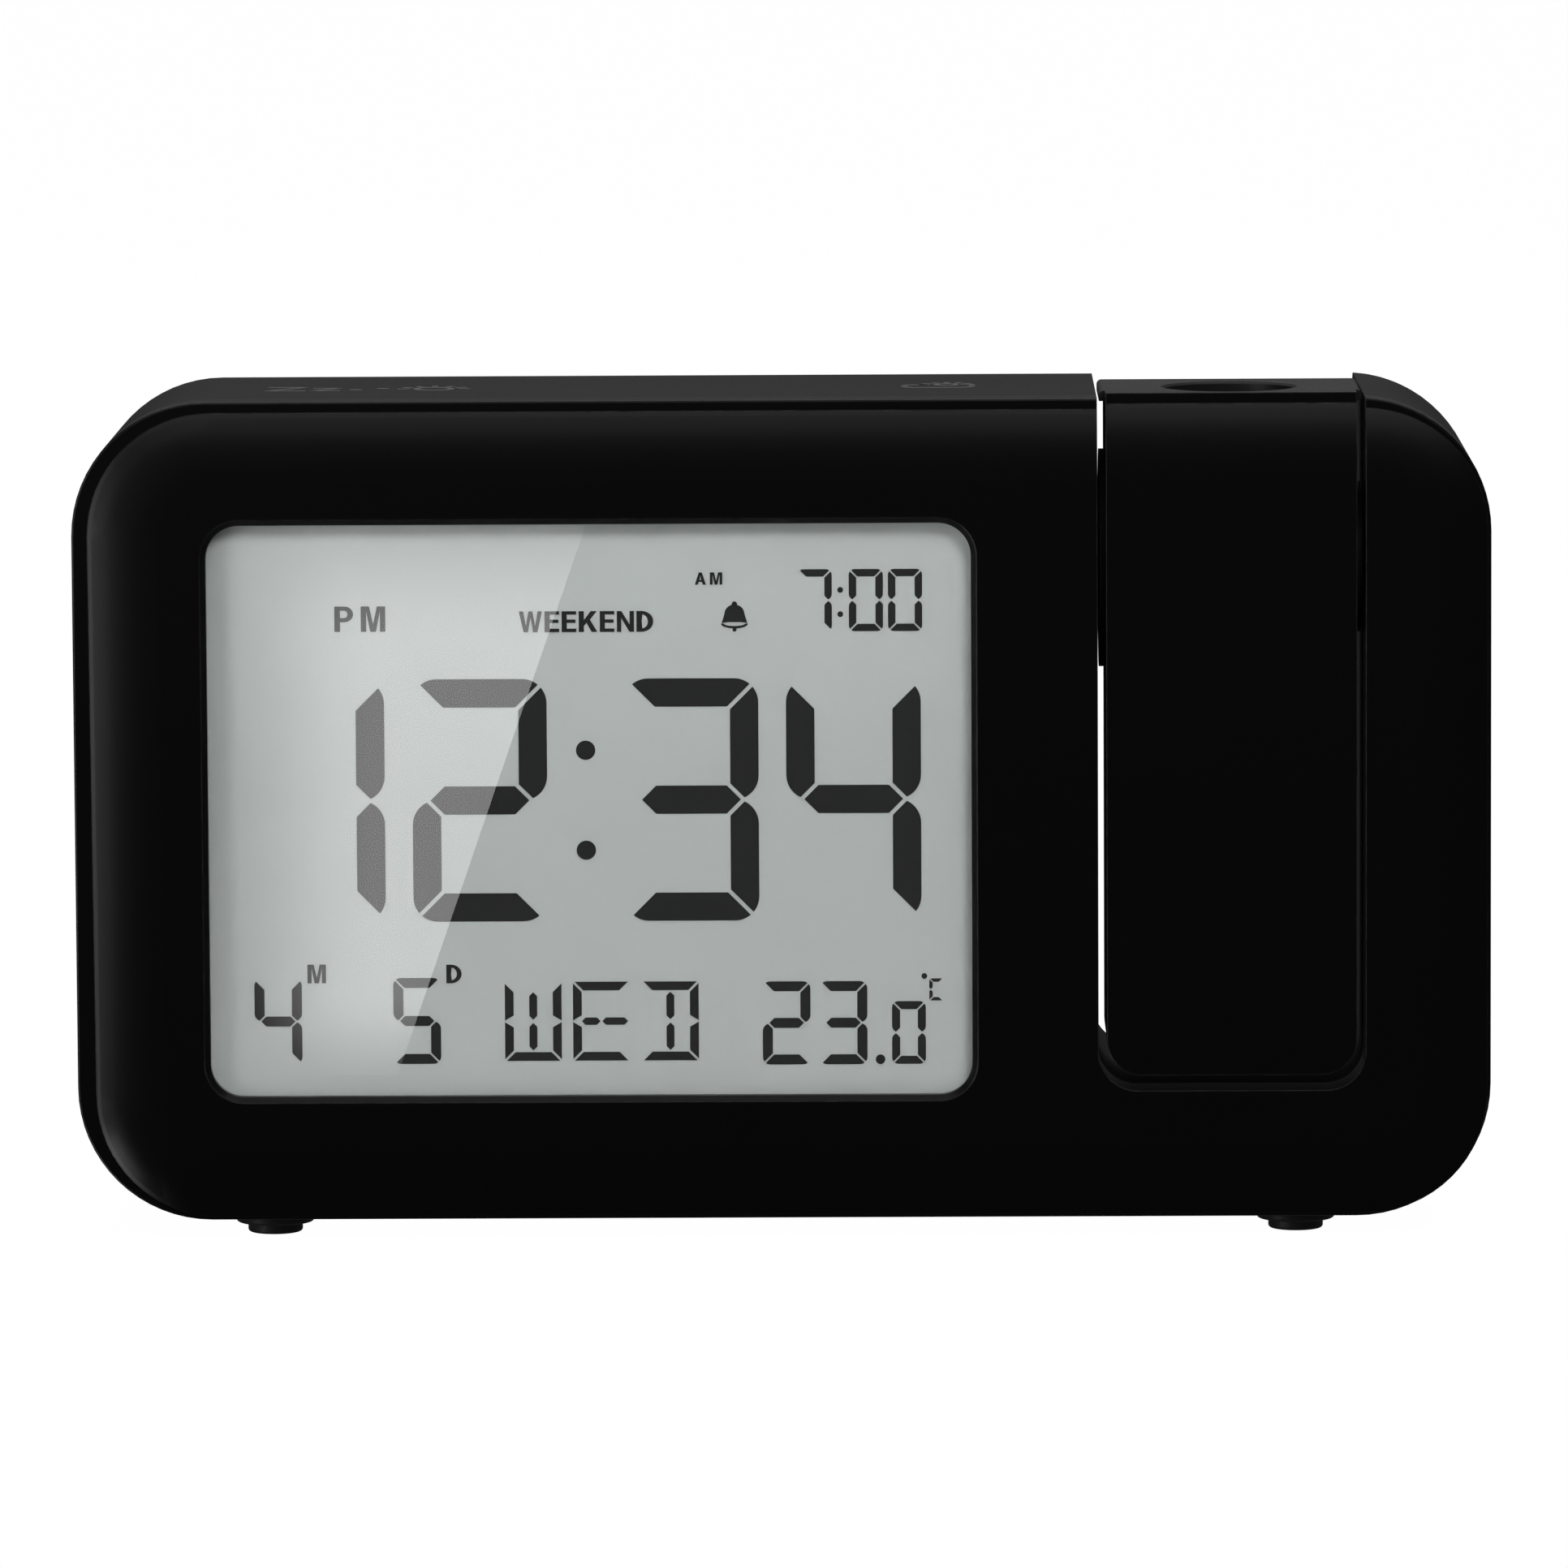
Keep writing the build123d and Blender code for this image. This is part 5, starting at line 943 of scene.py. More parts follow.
@dataclass
class BlockLetters:
    """Bold upright capitals. Every size is a share of the height of a letter.

    Attributes:
        gap: Space between two letters.
        stem: Width of an upright stroke.
        beam: Width of a level stroke.
        leg: Width of an upright stroke beside a leaning one.
    """

    gap: float = 0.105
    stem: float = 0.225
    beam: float = 0.165
    leg: float = 0.19

    def word(self, text: str, box: Box2) -> list[Outline]:
        """Sets a word into a box.

        Args:
            text: The word.
            box: The box that it fills.

        Returns:
            The outlines of its letters.
        """
        drawn = {"A": self._a, "D": self._d, "E": self._e, "F": self._f, "K": self._k, "M": self._m,
                 "N": self._n, "O": self._o, "P": self._p, "W": self._w}
        placed: list[Outline] = []
        pen = 0.0
        for letter in text:
            width, outlines = drawn[letter]()
            placed += moved(outlines, pen, 0.0)
            pen += width + self.gap
        stretch = (box.right - box.left) / (pen - self.gap)
        rise = box.high - box.low
        return [[(box.left + u * stretch, box.low + v * rise) for u, v in outline] for outline in placed]

    def _a(self) -> Glyph:
        """Two leaning legs and a cross bar.

        Returns:
            The width and outlines of the letter.
        """
        wide, foot, bar_low, bar_high, peak = 0.78, 0.215, 0.225, 0.375, 0.76
        middle, inner, shoulder = wide / 2, 0.335, 0.285
        left = [(0.0, 0.0), (foot, 0.0), (shoulder, bar_low), (middle, bar_low), (middle, bar_high),
                (inner, bar_high), (middle, peak), (middle, 1.0), (shoulder, 1.0)]
        return wide, [left, [(wide - u, v) for u, v in left]]

    def _bowl(self, low: float, wide: float) -> list[Outline]:
        """A stem with a round bowl from a height up to the top.

        Args:
            low: Lower edge of the bowl.
            wide: Width of the letter.

        Returns:
            The upper and the lower half.
        """
        middle, half = (low + 1.0) / 2, (1.0 - low) / 2
        turn = (wide - half, middle)
        outside = oval(turn, half, half, 0.0, math.pi / 2)
        inside = oval(turn, half - self.stem, half - self.beam, math.pi / 2, 0.0)
        post = [(0.0, 1.0), (0.0, middle), (self.stem, middle), (self.stem, 1.0 - self.beam)]
        upper = outside + post + inside
        return [upper, [(u, 2 * middle - v) for u, v in upper]]

    def _armed(self, wide: float, arm: float, middle: float, foot: bool) -> Glyph:
        """A stem with arms at the top and in the middle, and also at the foot where it is wanted.

        Args:
            wide: Width of the letter.
            arm: End of the middle arm.
            middle: Height of the middle arm.
            foot: Whether there is an arm at the foot.

        Returns:
            The width and outlines of the letter.
        """
        stem, under = self.stem, 1.0 - self.beam
        low, high = middle - self.beam / 2, middle + self.beam / 2
        base = [(wide, 0.0), (wide, self.beam), (stem, self.beam)] if foot else [(stem, 0.0)]
        return wide, [[(0.0, 0.0), *base, (stem, low), (arm, low), (arm, high), (stem, high),
                       (stem, under), (wide, under), (wide, 1.0), (0.0, 1.0)]]

    def _d(self) -> Glyph:
        """A stem with a bowl of full height."""
        return 0.72, self._bowl(0.0, 0.72)

    def _e(self) -> Glyph:
        """A stem with three arms."""
        return self._armed(0.63, 0.6, 0.52, foot=True)

    def _f(self) -> Glyph:
        """A stem with two arms."""
        return self._armed(0.6, 0.53, 0.49, foot=False)

    def _k(self) -> Glyph:
        """A stem with two leaning arms.

        Returns:
            The width and outlines of the letter.
        """
        stem = [(0.0, 1.0), (0.0, 0.0), (self.stem, 0.0), (self.stem, 0.29)]
        arms = [(0.335, 0.44), (0.555, 0.0), (0.8, 0.0), (0.485, 0.59), (0.78, 1.0), (0.515, 1.0)]
        return 0.8, [[*stem, *arms, (self.stem, 0.58), (self.stem, 1.0)]]

    def _m(self) -> Glyph:
        """Two stems with a deep notch between them.

        Returns:
            The width and outlines of the letter.
        """
        wide, shoulder, vertex, drop, notch = 0.86, 0.29, 0.1, 0.79, 0.31
        middle, far = wide / 2, wide - self.leg
        return wide, [[(0.0, 0.0), (self.leg, 0.0), (self.leg, drop), (middle - vertex, 0.0),
                       (middle + vertex, 0.0), (far, drop), (far, 0.0), (wide, 0.0), (wide, 1.0),
                       (wide - shoulder, 1.0), (middle, notch), (shoulder, 1.0), (0.0, 1.0)]]

    def _n(self) -> Glyph:
        """Two stems with a falling stroke between them.

        Returns:
            The width and outlines of the letter.
        """
        wide, shoulder, low, high = 0.74, 0.2, 0.35, 0.66
        far = wide - self.leg
        return wide, [[(0.0, 0.0), (self.leg, 0.0), (self.leg, high), (wide - shoulder, 0.0), (wide, 0.0),
                       (wide, 1.0), (far, 1.0), (far, low), (shoulder, 1.0), (0.0, 1.0)]]

    def _o(self) -> Glyph:
        """A round letter, in two halves.

        Returns:
            The width and outlines of the letter.
        """
        across, up = 0.4, 0.5
        halves = []
        for start in (0.0, math.pi):
            outside = oval((across, up), across, up, start, start + math.pi)
            inside = oval((across, up), across - self.stem, up - self.beam, start + math.pi, start)
            halves.append(outside + inside)
        return 2 * across, halves

    def _p(self) -> Glyph:
        """A stem with a bowl in its upper part.

        Returns:
            The width and outlines of the letter.
        """
        wide, low = 0.66, 0.38
        stem = [(0.0, 0.0), (self.stem, 0.0), (self.stem, low), (0.0, low)]
        return wide, [stem, *self._bowl(low, wide)]

    def _w(self) -> Glyph:
        """Two deep notches side by side.

        Returns:
            The width and outlines of the letter.
        """
        upper = [(0.0, 1.0), (self.leg, 1.0), (0.3, 0.3), (0.415, 1.0)]
        lower = [(0.39, 0.0), (0.2, 0.0)]
        return 1.0, [[*upper, *[(1.0 - u, v) for u, v in reversed(upper)],
                      *[(1.0 - u, v) for u, v in reversed(lower)], (0.5, 0.7), *lower]]


class Stroke(Enum):
    """The strokes of a seven-stroke character cell."""

    TOP = "a"
    HIGH_RIGHT = "b"
    LOW_RIGHT = "c"
    BASE = "d"
    LOW_LEFT = "e"
    HIGH_LEFT = "f"
    MIDDLE = "g"


DIGIT_STROKES: dict[str, str] = {"0": "abcdef", "1": "bc", "2": "abged", "3": "abgcd", "4": "fgbc",
                                 "5": "afgcd", "7": "abc", "C": "afed"}


@dataclass
class SevenStroke:
    """One character cell of seven strokes with mitred, rounded ends.

    Attributes:
        box: The cell.
        thick: Width of a stroke.
        gap: Gap between two strokes.
        corner: Rounding of the outer corners.
    """

    box: Box2
    thick: float
    gap: float
    corner: float

    def outlines(self, digit: str) -> list[Outline]:
        """Outlines of the strokes that show a digit.

        Args:
            digit: The character.

        Returns:
            One outline for each stroke.
        """
        shown = [self.stroke(Stroke(letter)) for letter in DIGIT_STROKES[digit]]
        return moved(shown, self.box.left, self.box.low)

    def stroke(self, which: Stroke) -> Outline:
        """Outline of one stroke, measured from the cell's lower left corner.

        Args:
            which: The stroke.

        Returns:
            Its points.
        """
        wide, high = self.box.right - self.box.left, self.box.high - self.box.low
        if which in (Stroke.TOP, Stroke.BASE):
            points = self._cross_bar(wide, high)
            return points if which is Stroke.TOP else [(u, high - v) for u, v in points]
        if which is Stroke.MIDDLE:
            return self._middle(wide, high)
        points = self._upright(wide, high)
        if which in (Stroke.LOW_LEFT, Stroke.LOW_RIGHT):
            points = [(u, high - v) for u, v in points]
        if which in (Stroke.HIGH_LEFT, Stroke.LOW_LEFT):
            points = [(wide - u, v) for u, v in points]
        return points

    def _mitre_angle(self) -> float:
        """Angle on a corner's arc at which the mitre cuts it."""
        return math.radians(45) + math.acos(self.gap / 2 / self.corner)

    def _cross_bar(self, wide: float, high: float) -> Outline:
        """The top bar.

        Args:
            wide: Width of the cell.
            high: Height of the cell.

        Returns:
            Its points.
        """
        turn = self._mitre_angle()
        reach = self.thick + self.gap / math.sqrt(2)
        left = arc((self.corner, high - self.corner), self.corner, turn, math.pi / 2)
        right = arc((wide - self.corner, high - self.corner), self.corner, math.pi / 2, math.pi - turn)
        return left + right + [(wide - reach, high - self.thick), (reach, high - self.thick)]

    def _upright(self, wide: float, high: float) -> Outline:
        """The upper right bar.

        Args:
            wide: Width of the cell.
            high: Height of the cell.

        Returns:
            Its points.
        """
        half, inner = self.thick / 2, wide - self.thick
        swing = math.acos((self.corner - half) / self.corner)
        tip = (high + self.gap) / 2
        across = wide - self.corner
        head = arc((across, high - self.corner), self.corner, self._mitre_angle() - math.pi / 2, 0.0)
        heel = arc((across, tip + self.corner * math.sin(swing)), self.corner, 0.0, -swing)
        return head + heel + [(inner, tip + half), (inner, high - self.thick - self.gap / math.sqrt(2))]

    def _middle(self, wide: float, high: float) -> Outline:
        """The pointed middle bar.

        Args:
            wide: Width of the cell.
            high: Height of the cell.

        Returns:
            Its points.
        """
        middle, tip = high / 2, self.thick / 2 + self.gap * (math.sqrt(2) - 0.5)
        return lozenge((tip, middle), (wide - tip, middle), self.thick)


@dataclass(frozen=True)
class DigitRow:
    """Digits of one size that stand on one line.

    Attributes:
        digits: Each digit with the right edge of its cell.
        low: Lower edge of the cells.
        high: Upper edge of the cells.
        wide: Width of a cell.
        thick: Width of a stroke.
        gap: Gap between two strokes.
        corner: Rounding of the outer corners.
    """

    digits: tuple[tuple[str, float], ...]
    low: float
    high: float
    wide: float
    thick: float
    gap: float
    corner: float

    def outlines(self) -> list[Outline]:
        """Outlines of all strokes of the row.

        Returns:
            One outline for each stroke.
        """
        made: list[Outline] = []
        for digit, right in self.digits:
            box = Box2(right - self.wide, self.low, right, self.high)
            made += SevenStroke(box, self.thick, self.gap, self.corner).outlines(digit)
        return made


@dataclass
class StarCell:
    """One cell of the weekday: bars along its rim, posts in its middle and laths across it.

    Attributes:
        box: The cell.
        thick: Width of a rim bar.
        gap: Gap between two bars.
        post: Width of a post as a share of a rim bar's.
        lath: Width of a lath as a share of a rim bar's.
    """

    box: Box2
    thick: float
    gap: float
    post: float = 0.9
    lath: float = 0.85

    def outlines(self, letter: str) -> list[Outline]:
        """Outlines of the bars that show a letter.

        Args:
            letter: W, E or D.

        Returns:
            One outline for each bar.
        """
        left, low, right, high = self.box.left, self.box.low, self.box.right, self.box.high
        centre, middle, inset = (left + right) / 2, (low + high) / 2, self.thick + self.gap
        made = [self._rim(low, self.thick)]
        if letter in "ED":
            made.append(self._rim(high, -self.thick))
        if letter in "WE":
            made += self._side(left, self.thick)
        if letter in "WD":
            made += self._side(right, -self.thick)
            made += [lozenge((centre, base), (centre, top), self.thick * self.post)
                     for base, top in ((low + inset, middle - self.gap),
                                       (middle + self.gap, high - inset))]
        if letter == "E":
            made += [lozenge((start, middle), (end, middle), self.thick * self.lath)
                     for start, end in ((left + self.thick, centre - self.gap / 2),
                                        (centre + self.gap / 2, right - self.gap))]
        return made

    def _rim(self, edge: float, rise: float) -> Outline:
        """The bar along the lower or the upper edge, with mitred ends.

        Args:
            edge: Height of the edge.
            rise: Width of the bar, negative where it hangs from its edge.

        Returns:
            The four corners.
        """
        left, right, inset = self.box.left + self.gap, self.box.right - self.gap, abs(rise)
        return [(left, edge), (right, edge), (right - inset, edge + rise), (left + inset, edge + rise)]

    def _side(self, edge: float, reach: float) -> list[Outline]:
        """The two upright bars along one side.

        Args:
            edge: Place of the side.
            reach: Width of the bars, negative where they lie to the left of the side.

        Returns:
            The lower and the upper bar.
        """
        inner, low, high = edge + reach, self.box.low, self.box.high
        middle, inset, point = (low + high) / 2, self.gap + self.thick, self.gap + self.thick / 2
        lower = [(edge, low + self.gap), (inner, low + inset), (inner, middle - point),
                 (edge, middle - self.gap / 2)]
        upper = [(edge, middle + self.gap / 2), (inner, middle + point), (inner, high - inset),
                 (edge, high - self.gap)]
        return [lower, upper]


@dataclass(frozen=True)
class Figures:
    """A group of digits and dots that is one piece.

    Attributes:
        name: Name of the piece.
        rows: Its digits.
        dots: Its dots.
    """

    name: str
    rows: tuple[DigitRow, ...]
    dots: tuple[Dot, ...] = ()


# ---------------------------------------------------------------- sub-assemblies


@dataclass
class Display:
    """Characters that the liquid-crystal panel shows, between the panel and the window.

    Places and sizes are in millimetres on the panel.

    Attributes:
        finishes: Materials by name.
        lift: Gap between the panel and the characters.
        thick: Thickness of the characters.
        time: The large time with its colon.
        alarm: The small alarm time with its colon.
        date: Month and day.
        temperature: Temperature with its point, tenths, degree dot and letter.
        day_cells: Left edge and letter of each cell of the weekday.
        day_low: Lower edge of these cells.
        day_high: Their upper edge.
        day_wide: Their width.
        day_thick: Width of their bars.
        day_gap: Gap between their bars.
    """

    finishes: dict[str, bpy.types.Material]
    lift: float = 0.005
    thick: float = 0.05
    time: Figures = Figures(
        "lcd_time",
        (DigitRow((("1", -49.0), ("2", -28.97), ("3", -2.9), ("4", 17.1)),
                  low=39.5, high=69.55, wide=16.6, thick=3.5, gap=0.5, corner=3.0),),
        (Dot((-24.2, 60.7), radius=1.2, sides=32), Dot((-24.2, 48.3), radius=1.2, sides=32)))
    alarm: Figures = Figures(
        "lcd_alarm_time",
        (DigitRow((("7", 6.22), ("0", 12.5), ("0", 17.32)),
                  low=75.28, high=82.97, wide=4.2, thick=0.92, gap=0.2, corner=0.75),),
        (Dot((7.25, 80.4), radius=0.36, sides=20), Dot((7.25, 77.4), radius=0.36, sides=20)))
    date: Figures = Figures(
        "lcd_date",
        (DigitRow((("4", -59.48), ("5", -42.32)),
                  low=21.8, high=32.5, wide=5.86, thick=1.24, gap=0.22, corner=0.95),))
    temperature: Figures = Figures(
        "lcd_temperature",
        (DigitRow((("2", 3.33), ("3", 10.35)),
                  low=21.55, high=31.9, wide=5.9, thick=1.24, gap=0.22, corner=0.95),
         DigitRow((("0", 17.57),), low=21.57, high=29.38, wide=4.18, thick=1.0, gap=0.2, corner=0.8),
         DigitRow((("C", 19.7),), low=29.45, high=32.19, wide=1.69, thick=0.42, gap=0.14, corner=0.24)),
        (Dot((11.95, 22.15), radius=0.6, sides=24), Dot((17.4, 32.5), radius=0.36, sides=20)))
    day_cells: tuple[tuple[float, str], ...] = ((-34.41, "W"), (-25.99, "E"), (-17.47, "D"))
    day_low: float = 22.13
    day_high: float = 31.95
    day_wide: float = 7.0
    day_thick: float = 1.08
    day_gap: float = 0.2

    def build(self) -> list[bpy.types.Object]:
        """Makes every group of characters.

        Returns:
            The pieces.
        """
        made = [self._figures(self.time), self._figures(self.alarm), self._figures(self.date),
                self._weekday(), self._figures(self.temperature), self._bell(), *self._words()]
        for piece in made:
            dress(piece, self.finishes[INK.name], "case")
        return made

    def _plate(self, name: str, outlines: list[Outline]) -> bpy.types.Object:
        """Lays outlines on the panel.

        Args:
            name: Name of the piece.
            outlines: Its outlines.

        Returns:
            The piece.
        """
        panel = -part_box("lcd_panel")[0].y / MM
        return plate(name, outlines, Face.FRONT, panel + self.lift, self.thick)

    def _figures(self, group: Figures) -> bpy.types.Object:
        """Makes a group of digits and dots.

        Args:
            group: The group.

        Returns:
            The piece.
        """
        outlines = [outline for row in group.rows for outline in row.outlines()]
        return self._plate(group.name, outlines + [dot.outline() for dot in group.dots])

    def _weekday(self) -> bpy.types.Object:
        """The three-letter day.

        Returns:
            The piece.
        """
        outlines: list[Outline] = []
        for left, letter in self.day_cells:
            box = Box2(left, self.day_low, left + self.day_wide, self.day_high)
            outlines += StarCell(box, self.day_thick, self.day_gap).outlines(letter)
        return self._plate("lcd_weekday", outlines)

    def _bell(self) -> bpy.types.Object:
        """The bell that shows that the alarm is set.

        Returns:
            The piece.
        """
        centre, brim, waist, crown = -5.77, 76.35, 77.0, 77.5
        side = [(1.38, waist), (1.6, brim), (0.8, brim + 0.12)]
        body: Outline = oval((centre, crown), 1.24, 1.15, math.pi, 0.0)
        body += [(centre + half, height) for half, height in side]
        body += [(centre - half, height) for half, height in reversed(side)]
        under = (centre, brim - 0.05)
        bow = oval(under, 1.68, 0.62, math.pi, math.tau) + oval(under, 1.3, 0.3, math.tau, math.pi)
        knob = Dot((centre, 78.7), radius=0.34, sides=18)
        clapper = Dot((centre, 75.54), radius=0.26, sides=16)
        return self._plate("lcd_bell", [body, knob.outline(), bow, clapper.outline()])

    def _words(self) -> list[bpy.types.Object]:
        """The short words of the panel.

        Returns:
            The pieces.
        """
        close, wide = BlockLetters(), BlockLetters(gap=0.27, stem=0.2)
        words = (("lcd_pm", wide, "PM", Box2(-55.01, 75.47, -48.74, 78.61)),
                 ("lcd_am", wide, "AM", Box2(-10.63, 81.11, -7.24, 82.63)),
                 ("lcd_weekend", close, "WEEKEND", Box2(-32.3, 75.33, -15.77, 77.91)),
                 ("lcd_month", close, "M", Box2(-58.76, 31.89, -56.47, 34.22)),
                 ("lcd_day", close, "D", Box2(-41.61, 31.82, -39.72, 34.15)))
        return [self._plate(name, letters.word(text, box)) for name, letters, text, box in words]


@dataclass(frozen=True)
class Sun:
    """A ring with short rays.

    Attributes:
        centre: Its middle.
        radius: Outer radius of the ring.
        reach: Length from the ring to the end of a ray.
        gap: Space between the ring and a ray.
        rays: Number of rays over the upper half, both level ones included.
    """

    centre: Point
    radius: float
    reach: float
    gap: float = 0.5
    rays: int = 7

    def outlines(self, line: float) -> list[Outline]:
        """Outlines of the ring and the rays.

        Args:
            line: Width of the lines.

        Returns:
            The outlines.
        """
        made = ring(self.centre, self.radius, line)
        for k in range(self.rays):
            turn = math.pi * k / (self.rays - 1)
            tip = Vector((math.cos(turn), math.sin(turn)))
            start = Vector(self.centre) + tip * (self.radius + self.gap)
            end = Vector(self.centre) + tip * (self.radius + self.reach)
            made.append(bar(tuple(start), tuple(end), line))
        return made


@dataclass
class TopMarks:
    """Marks printed over the two touch plates on the top of the case, in millimetres.

    Attributes:
        finishes: Materials by name.
        line: Width of the printed lines.
        film: Thickness of the print.
        sink: How far the print reaches into the case.
        zeds: The sleep letters.
        dots: Middles of the two dots beside them.
        dot_half: Half the width and half the height of a dot.
        snooze_sun: The lamp beside the dots.
        key: The key outline.
        key_corner: Rounding of its corners.
        key_break: Place along X where its upper line ends for the light.
        key_sun: The light that rises from it.
    """

    finishes: dict[str, bpy.types.Material]
    line: float = 0.75
    film: float = 0.03
    sink: float = 0.01
    zeds: tuple[Box2, ...] = (Box2(-64.1, -3.0, -59.2, 2.6), Box2(-58.4, -2.9, -54.9, 1.1))
    dots: tuple[Point, ...] = ((-53.0, -1.4), (-49.7, 0.3))
    dot_half: Point = (0.85, 0.6)
    snooze_sun: Sun = Sun((-43.3, -0.6), radius=2.55, reach=2.0)
    key: Box2 = Box2(14.8, -2.6, 24.1, 2.8)
    key_corner: float = 2.2
    key_break: float = 18.2
    key_sun: Sun = Sun((20.5, 2.4), radius=1.7, reach=1.8)

    def build(self) -> list[bpy.types.Object]:
        """Makes both groups of marks.

        Returns:
            The pieces.
        """
        made = [self._plate("top_mark_snooze", self._snooze()),
                self._plate("top_mark_light", self._light())]
        for piece in made:
            dress(piece, self.finishes[TOP_PRINT.name], "case")
        return made

    def _plate(self, name: str, outlines: list[Outline]) -> bpy.types.Object:
        """Prints outlines on the top.

        Args:
            name: Name of the piece.
            outlines: Its outlines.

        Returns:
            The piece.
        """
        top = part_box("rear_housing")[1].z / MM
        return plate(name, outlines, Face.TOP, top - self.sink, self.film)

    def _snooze(self) -> list[Outline]:
        """Sleep letters, two dots and a lamp over the left touch plate.

        Returns:
            The outlines.
        """
        outlines: list[Outline] = []
        for zed in self.zeds:
            for start, end in (((zed.left, zed.high), (zed.right, zed.high)),
                               ((zed.left, zed.low), (zed.right, zed.low)),
                               ((zed.left, zed.low), (zed.right, zed.high))):
                outlines.append(bar(start, end, self.line))
        outlines += [oval(centre, *self.dot_half, 0.0, math.tau)[:-1] for centre in self.dots]
        return outlines + self.snooze_sun.outlines(self.line)

    def _light(self) -> list[Outline]:
        """A key outline with a rising light over the right touch plate.

        Returns:
            The outlines.
        """
        left, right = self.key.left + self.key_corner, self.key.right - self.key_corner
        low, high = self.key.low + self.key_corner, self.key.high - self.key_corner
        corners = ((right, high), (left, high), (left, low), (right, low))
        outlines = [band(centre, self.key_corner, self.line, math.pi / 2 * k, math.pi / 2 * (k + 1))
                    for k, centre in enumerate(corners)]
        base, top = self.key.low + self.line / 2, self.key.high - self.line / 2
        outlines += [bar((left, base), (right, base), self.line),
                     bar((left, top), (self.key_break, top), self.line)]
        return outlines + self.key_sun.outlines(self.line)


class KeySign(Enum):
    """The signs on the setting keys, each with the name of its key."""

    SET = "key_set"
    PLUS = "key_plus"
    MINUS = "key_minus"
    ALARM = "key_alarm"
    MODE = "key_mode"
    FLIP = "key_flip"


@dataclass
class RearMarks:
    """Plain signs on the keys, beside the switch and over the inlet, in millimetres.

    Attributes:
        finishes: Materials by name.
        film: Thickness of the print.
        sink: How far the print reaches into its piece.
        line: Width of the lines on the keys.
        hand: Width of thinner lines.
        arm: Half the length of a bar on a key.
        word_high: Height of the words beside the switch.
        word_margin: Space between the switch and a word.
        off_wide: Width of the word OFF.
        on_wide: Width of the word ON.
        inlet_rise: Space between the inlet and its sign.
        inlet_dash: Length of a short dash in that sign.
    """

    finishes: dict[str, bpy.types.Material]
    film: float = 0.04
    sink: float = 0.01
    line: float = 0.5
    hand: float = 0.4
    arm: float = 1.4
    word_high: float = 2.0
    word_margin: float = 3.2
    off_wide: float = 4.4
    on_wide: float = 3.2
    inlet_rise: float = 1.6
    inlet_dash: float = 0.8

    def build(self) -> list[bpy.types.Object]:
        """Makes every sign.

        Returns:
            The pieces.
        """
        keys = [self._key_sign(which) for which in KeySign]
        for piece, which in zip(keys, KeySign):
            dress(piece, self.finishes[REAR_PRINT.name], which.value)
        case = [*self._switch_words(), self._inlet_sign()]
        for piece in case:
            dress(piece, self.finishes[REAR_PRINT.name], "case")
        return keys + case

    def _key_sign(self, which: KeySign) -> bpy.types.Object:
        """The sign on a key's cap, which travels with the key.

        Args:
            which: The sign.

        Returns:
            The piece.
        """
        low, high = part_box(which.value)
        drawn = {KeySign.SET: self._dial, KeySign.PLUS: self._cross, KeySign.MINUS: self._dash,
                 KeySign.ALARM: self._bell, KeySign.MODE: self._list, KeySign.FLIP: self._arrows}
        outlines = moved(drawn[which](), -(low.x + high.x) / 2 / MM, (low.z + high.z) / 2 / MM)
        return plate(which.value + "_sign", outlines, Face.REAR, high.y / MM - self.sink, self.film)

    def _cross(self) -> list[Outline]:
        """A plus sign.

        Returns:
            Its three bars.
        """
        ends = ((-self.arm, -self.line / 2), (self.line / 2, self.arm))
        level = [bar((start, 0.0), (end, 0.0), self.line) for start, end in ends]
        return [*level, bar((0.0, -self.arm), (0.0, self.arm), self.line)]

    def _dash(self) -> list[Outline]:
        """A minus sign."""
        return [bar((-self.arm, 0.0), (self.arm, 0.0), self.line)]

    def _dial(self) -> list[Outline]:
        """A clock face with two hands.

        Returns:
            The ring and the hands.
        """
        radius, tips = 1.5, ((0.0, 1.1), (0.8, 0.0))
        hands = [bar((0.0, 0.0), tip, self.hand) for tip in tips]
        return ring((0.0, 0.0), radius, self.line) + hands

    def _bell(self) -> list[Outline]:
        """A bell with its clapper.

        Returns:
            The bell and the clapper.
        """
        crown, brim, clapper = 0.2, -1.1, -1.5
        body = arc((0.0, crown), 1.0, math.pi, 0.0, 12) + [(self.arm, brim), (-self.arm, brim)]
        return [body, Dot((0.0, clapper), radius=0.35, sides=14).outline()]

    def _list(self) -> list[Outline]:
        """Three level lines."""
        return [bar((-self.arm, step), (self.arm, step), 0.45) for step in (-1.0, 0.0, 1.0)]

    def _arrows(self) -> list[Outline]:
        """Two arrow heads that point at each other."""
        tip, base, half = 0.3, 1.9, 1.3
        return [[(-tip, 0.0), (-base, -half), (-base, half)], [(tip, 0.0), (base, half), (base, -half)]]

    def _back(self) -> float:
        """Place of the back of the print on the rear of the case."""
        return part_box("rear_housing")[1].y / MM - self.sink

    def _switch_words(self) -> list[bpy.types.Object]:
        """The words beside the slide switch.

        Returns:
            The two pieces.
        """
        low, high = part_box("slide_switch")
        left, right = -high.x / MM - self.word_margin, -low.x / MM + self.word_margin
        base = (low.z + high.z) / 2 / MM - self.word_high / 2
        top = base + self.word_high
        words = (("switch_word_off", "OFF", Box2(left - self.off_wide, base, left, top)),
                 ("switch_word_on", "ON", Box2(right, base, right + self.on_wide, top)))
        return [plate(name, BlockLetters().word(text, box), Face.REAR, self._back(), self.film)
                for name, text, box in words]

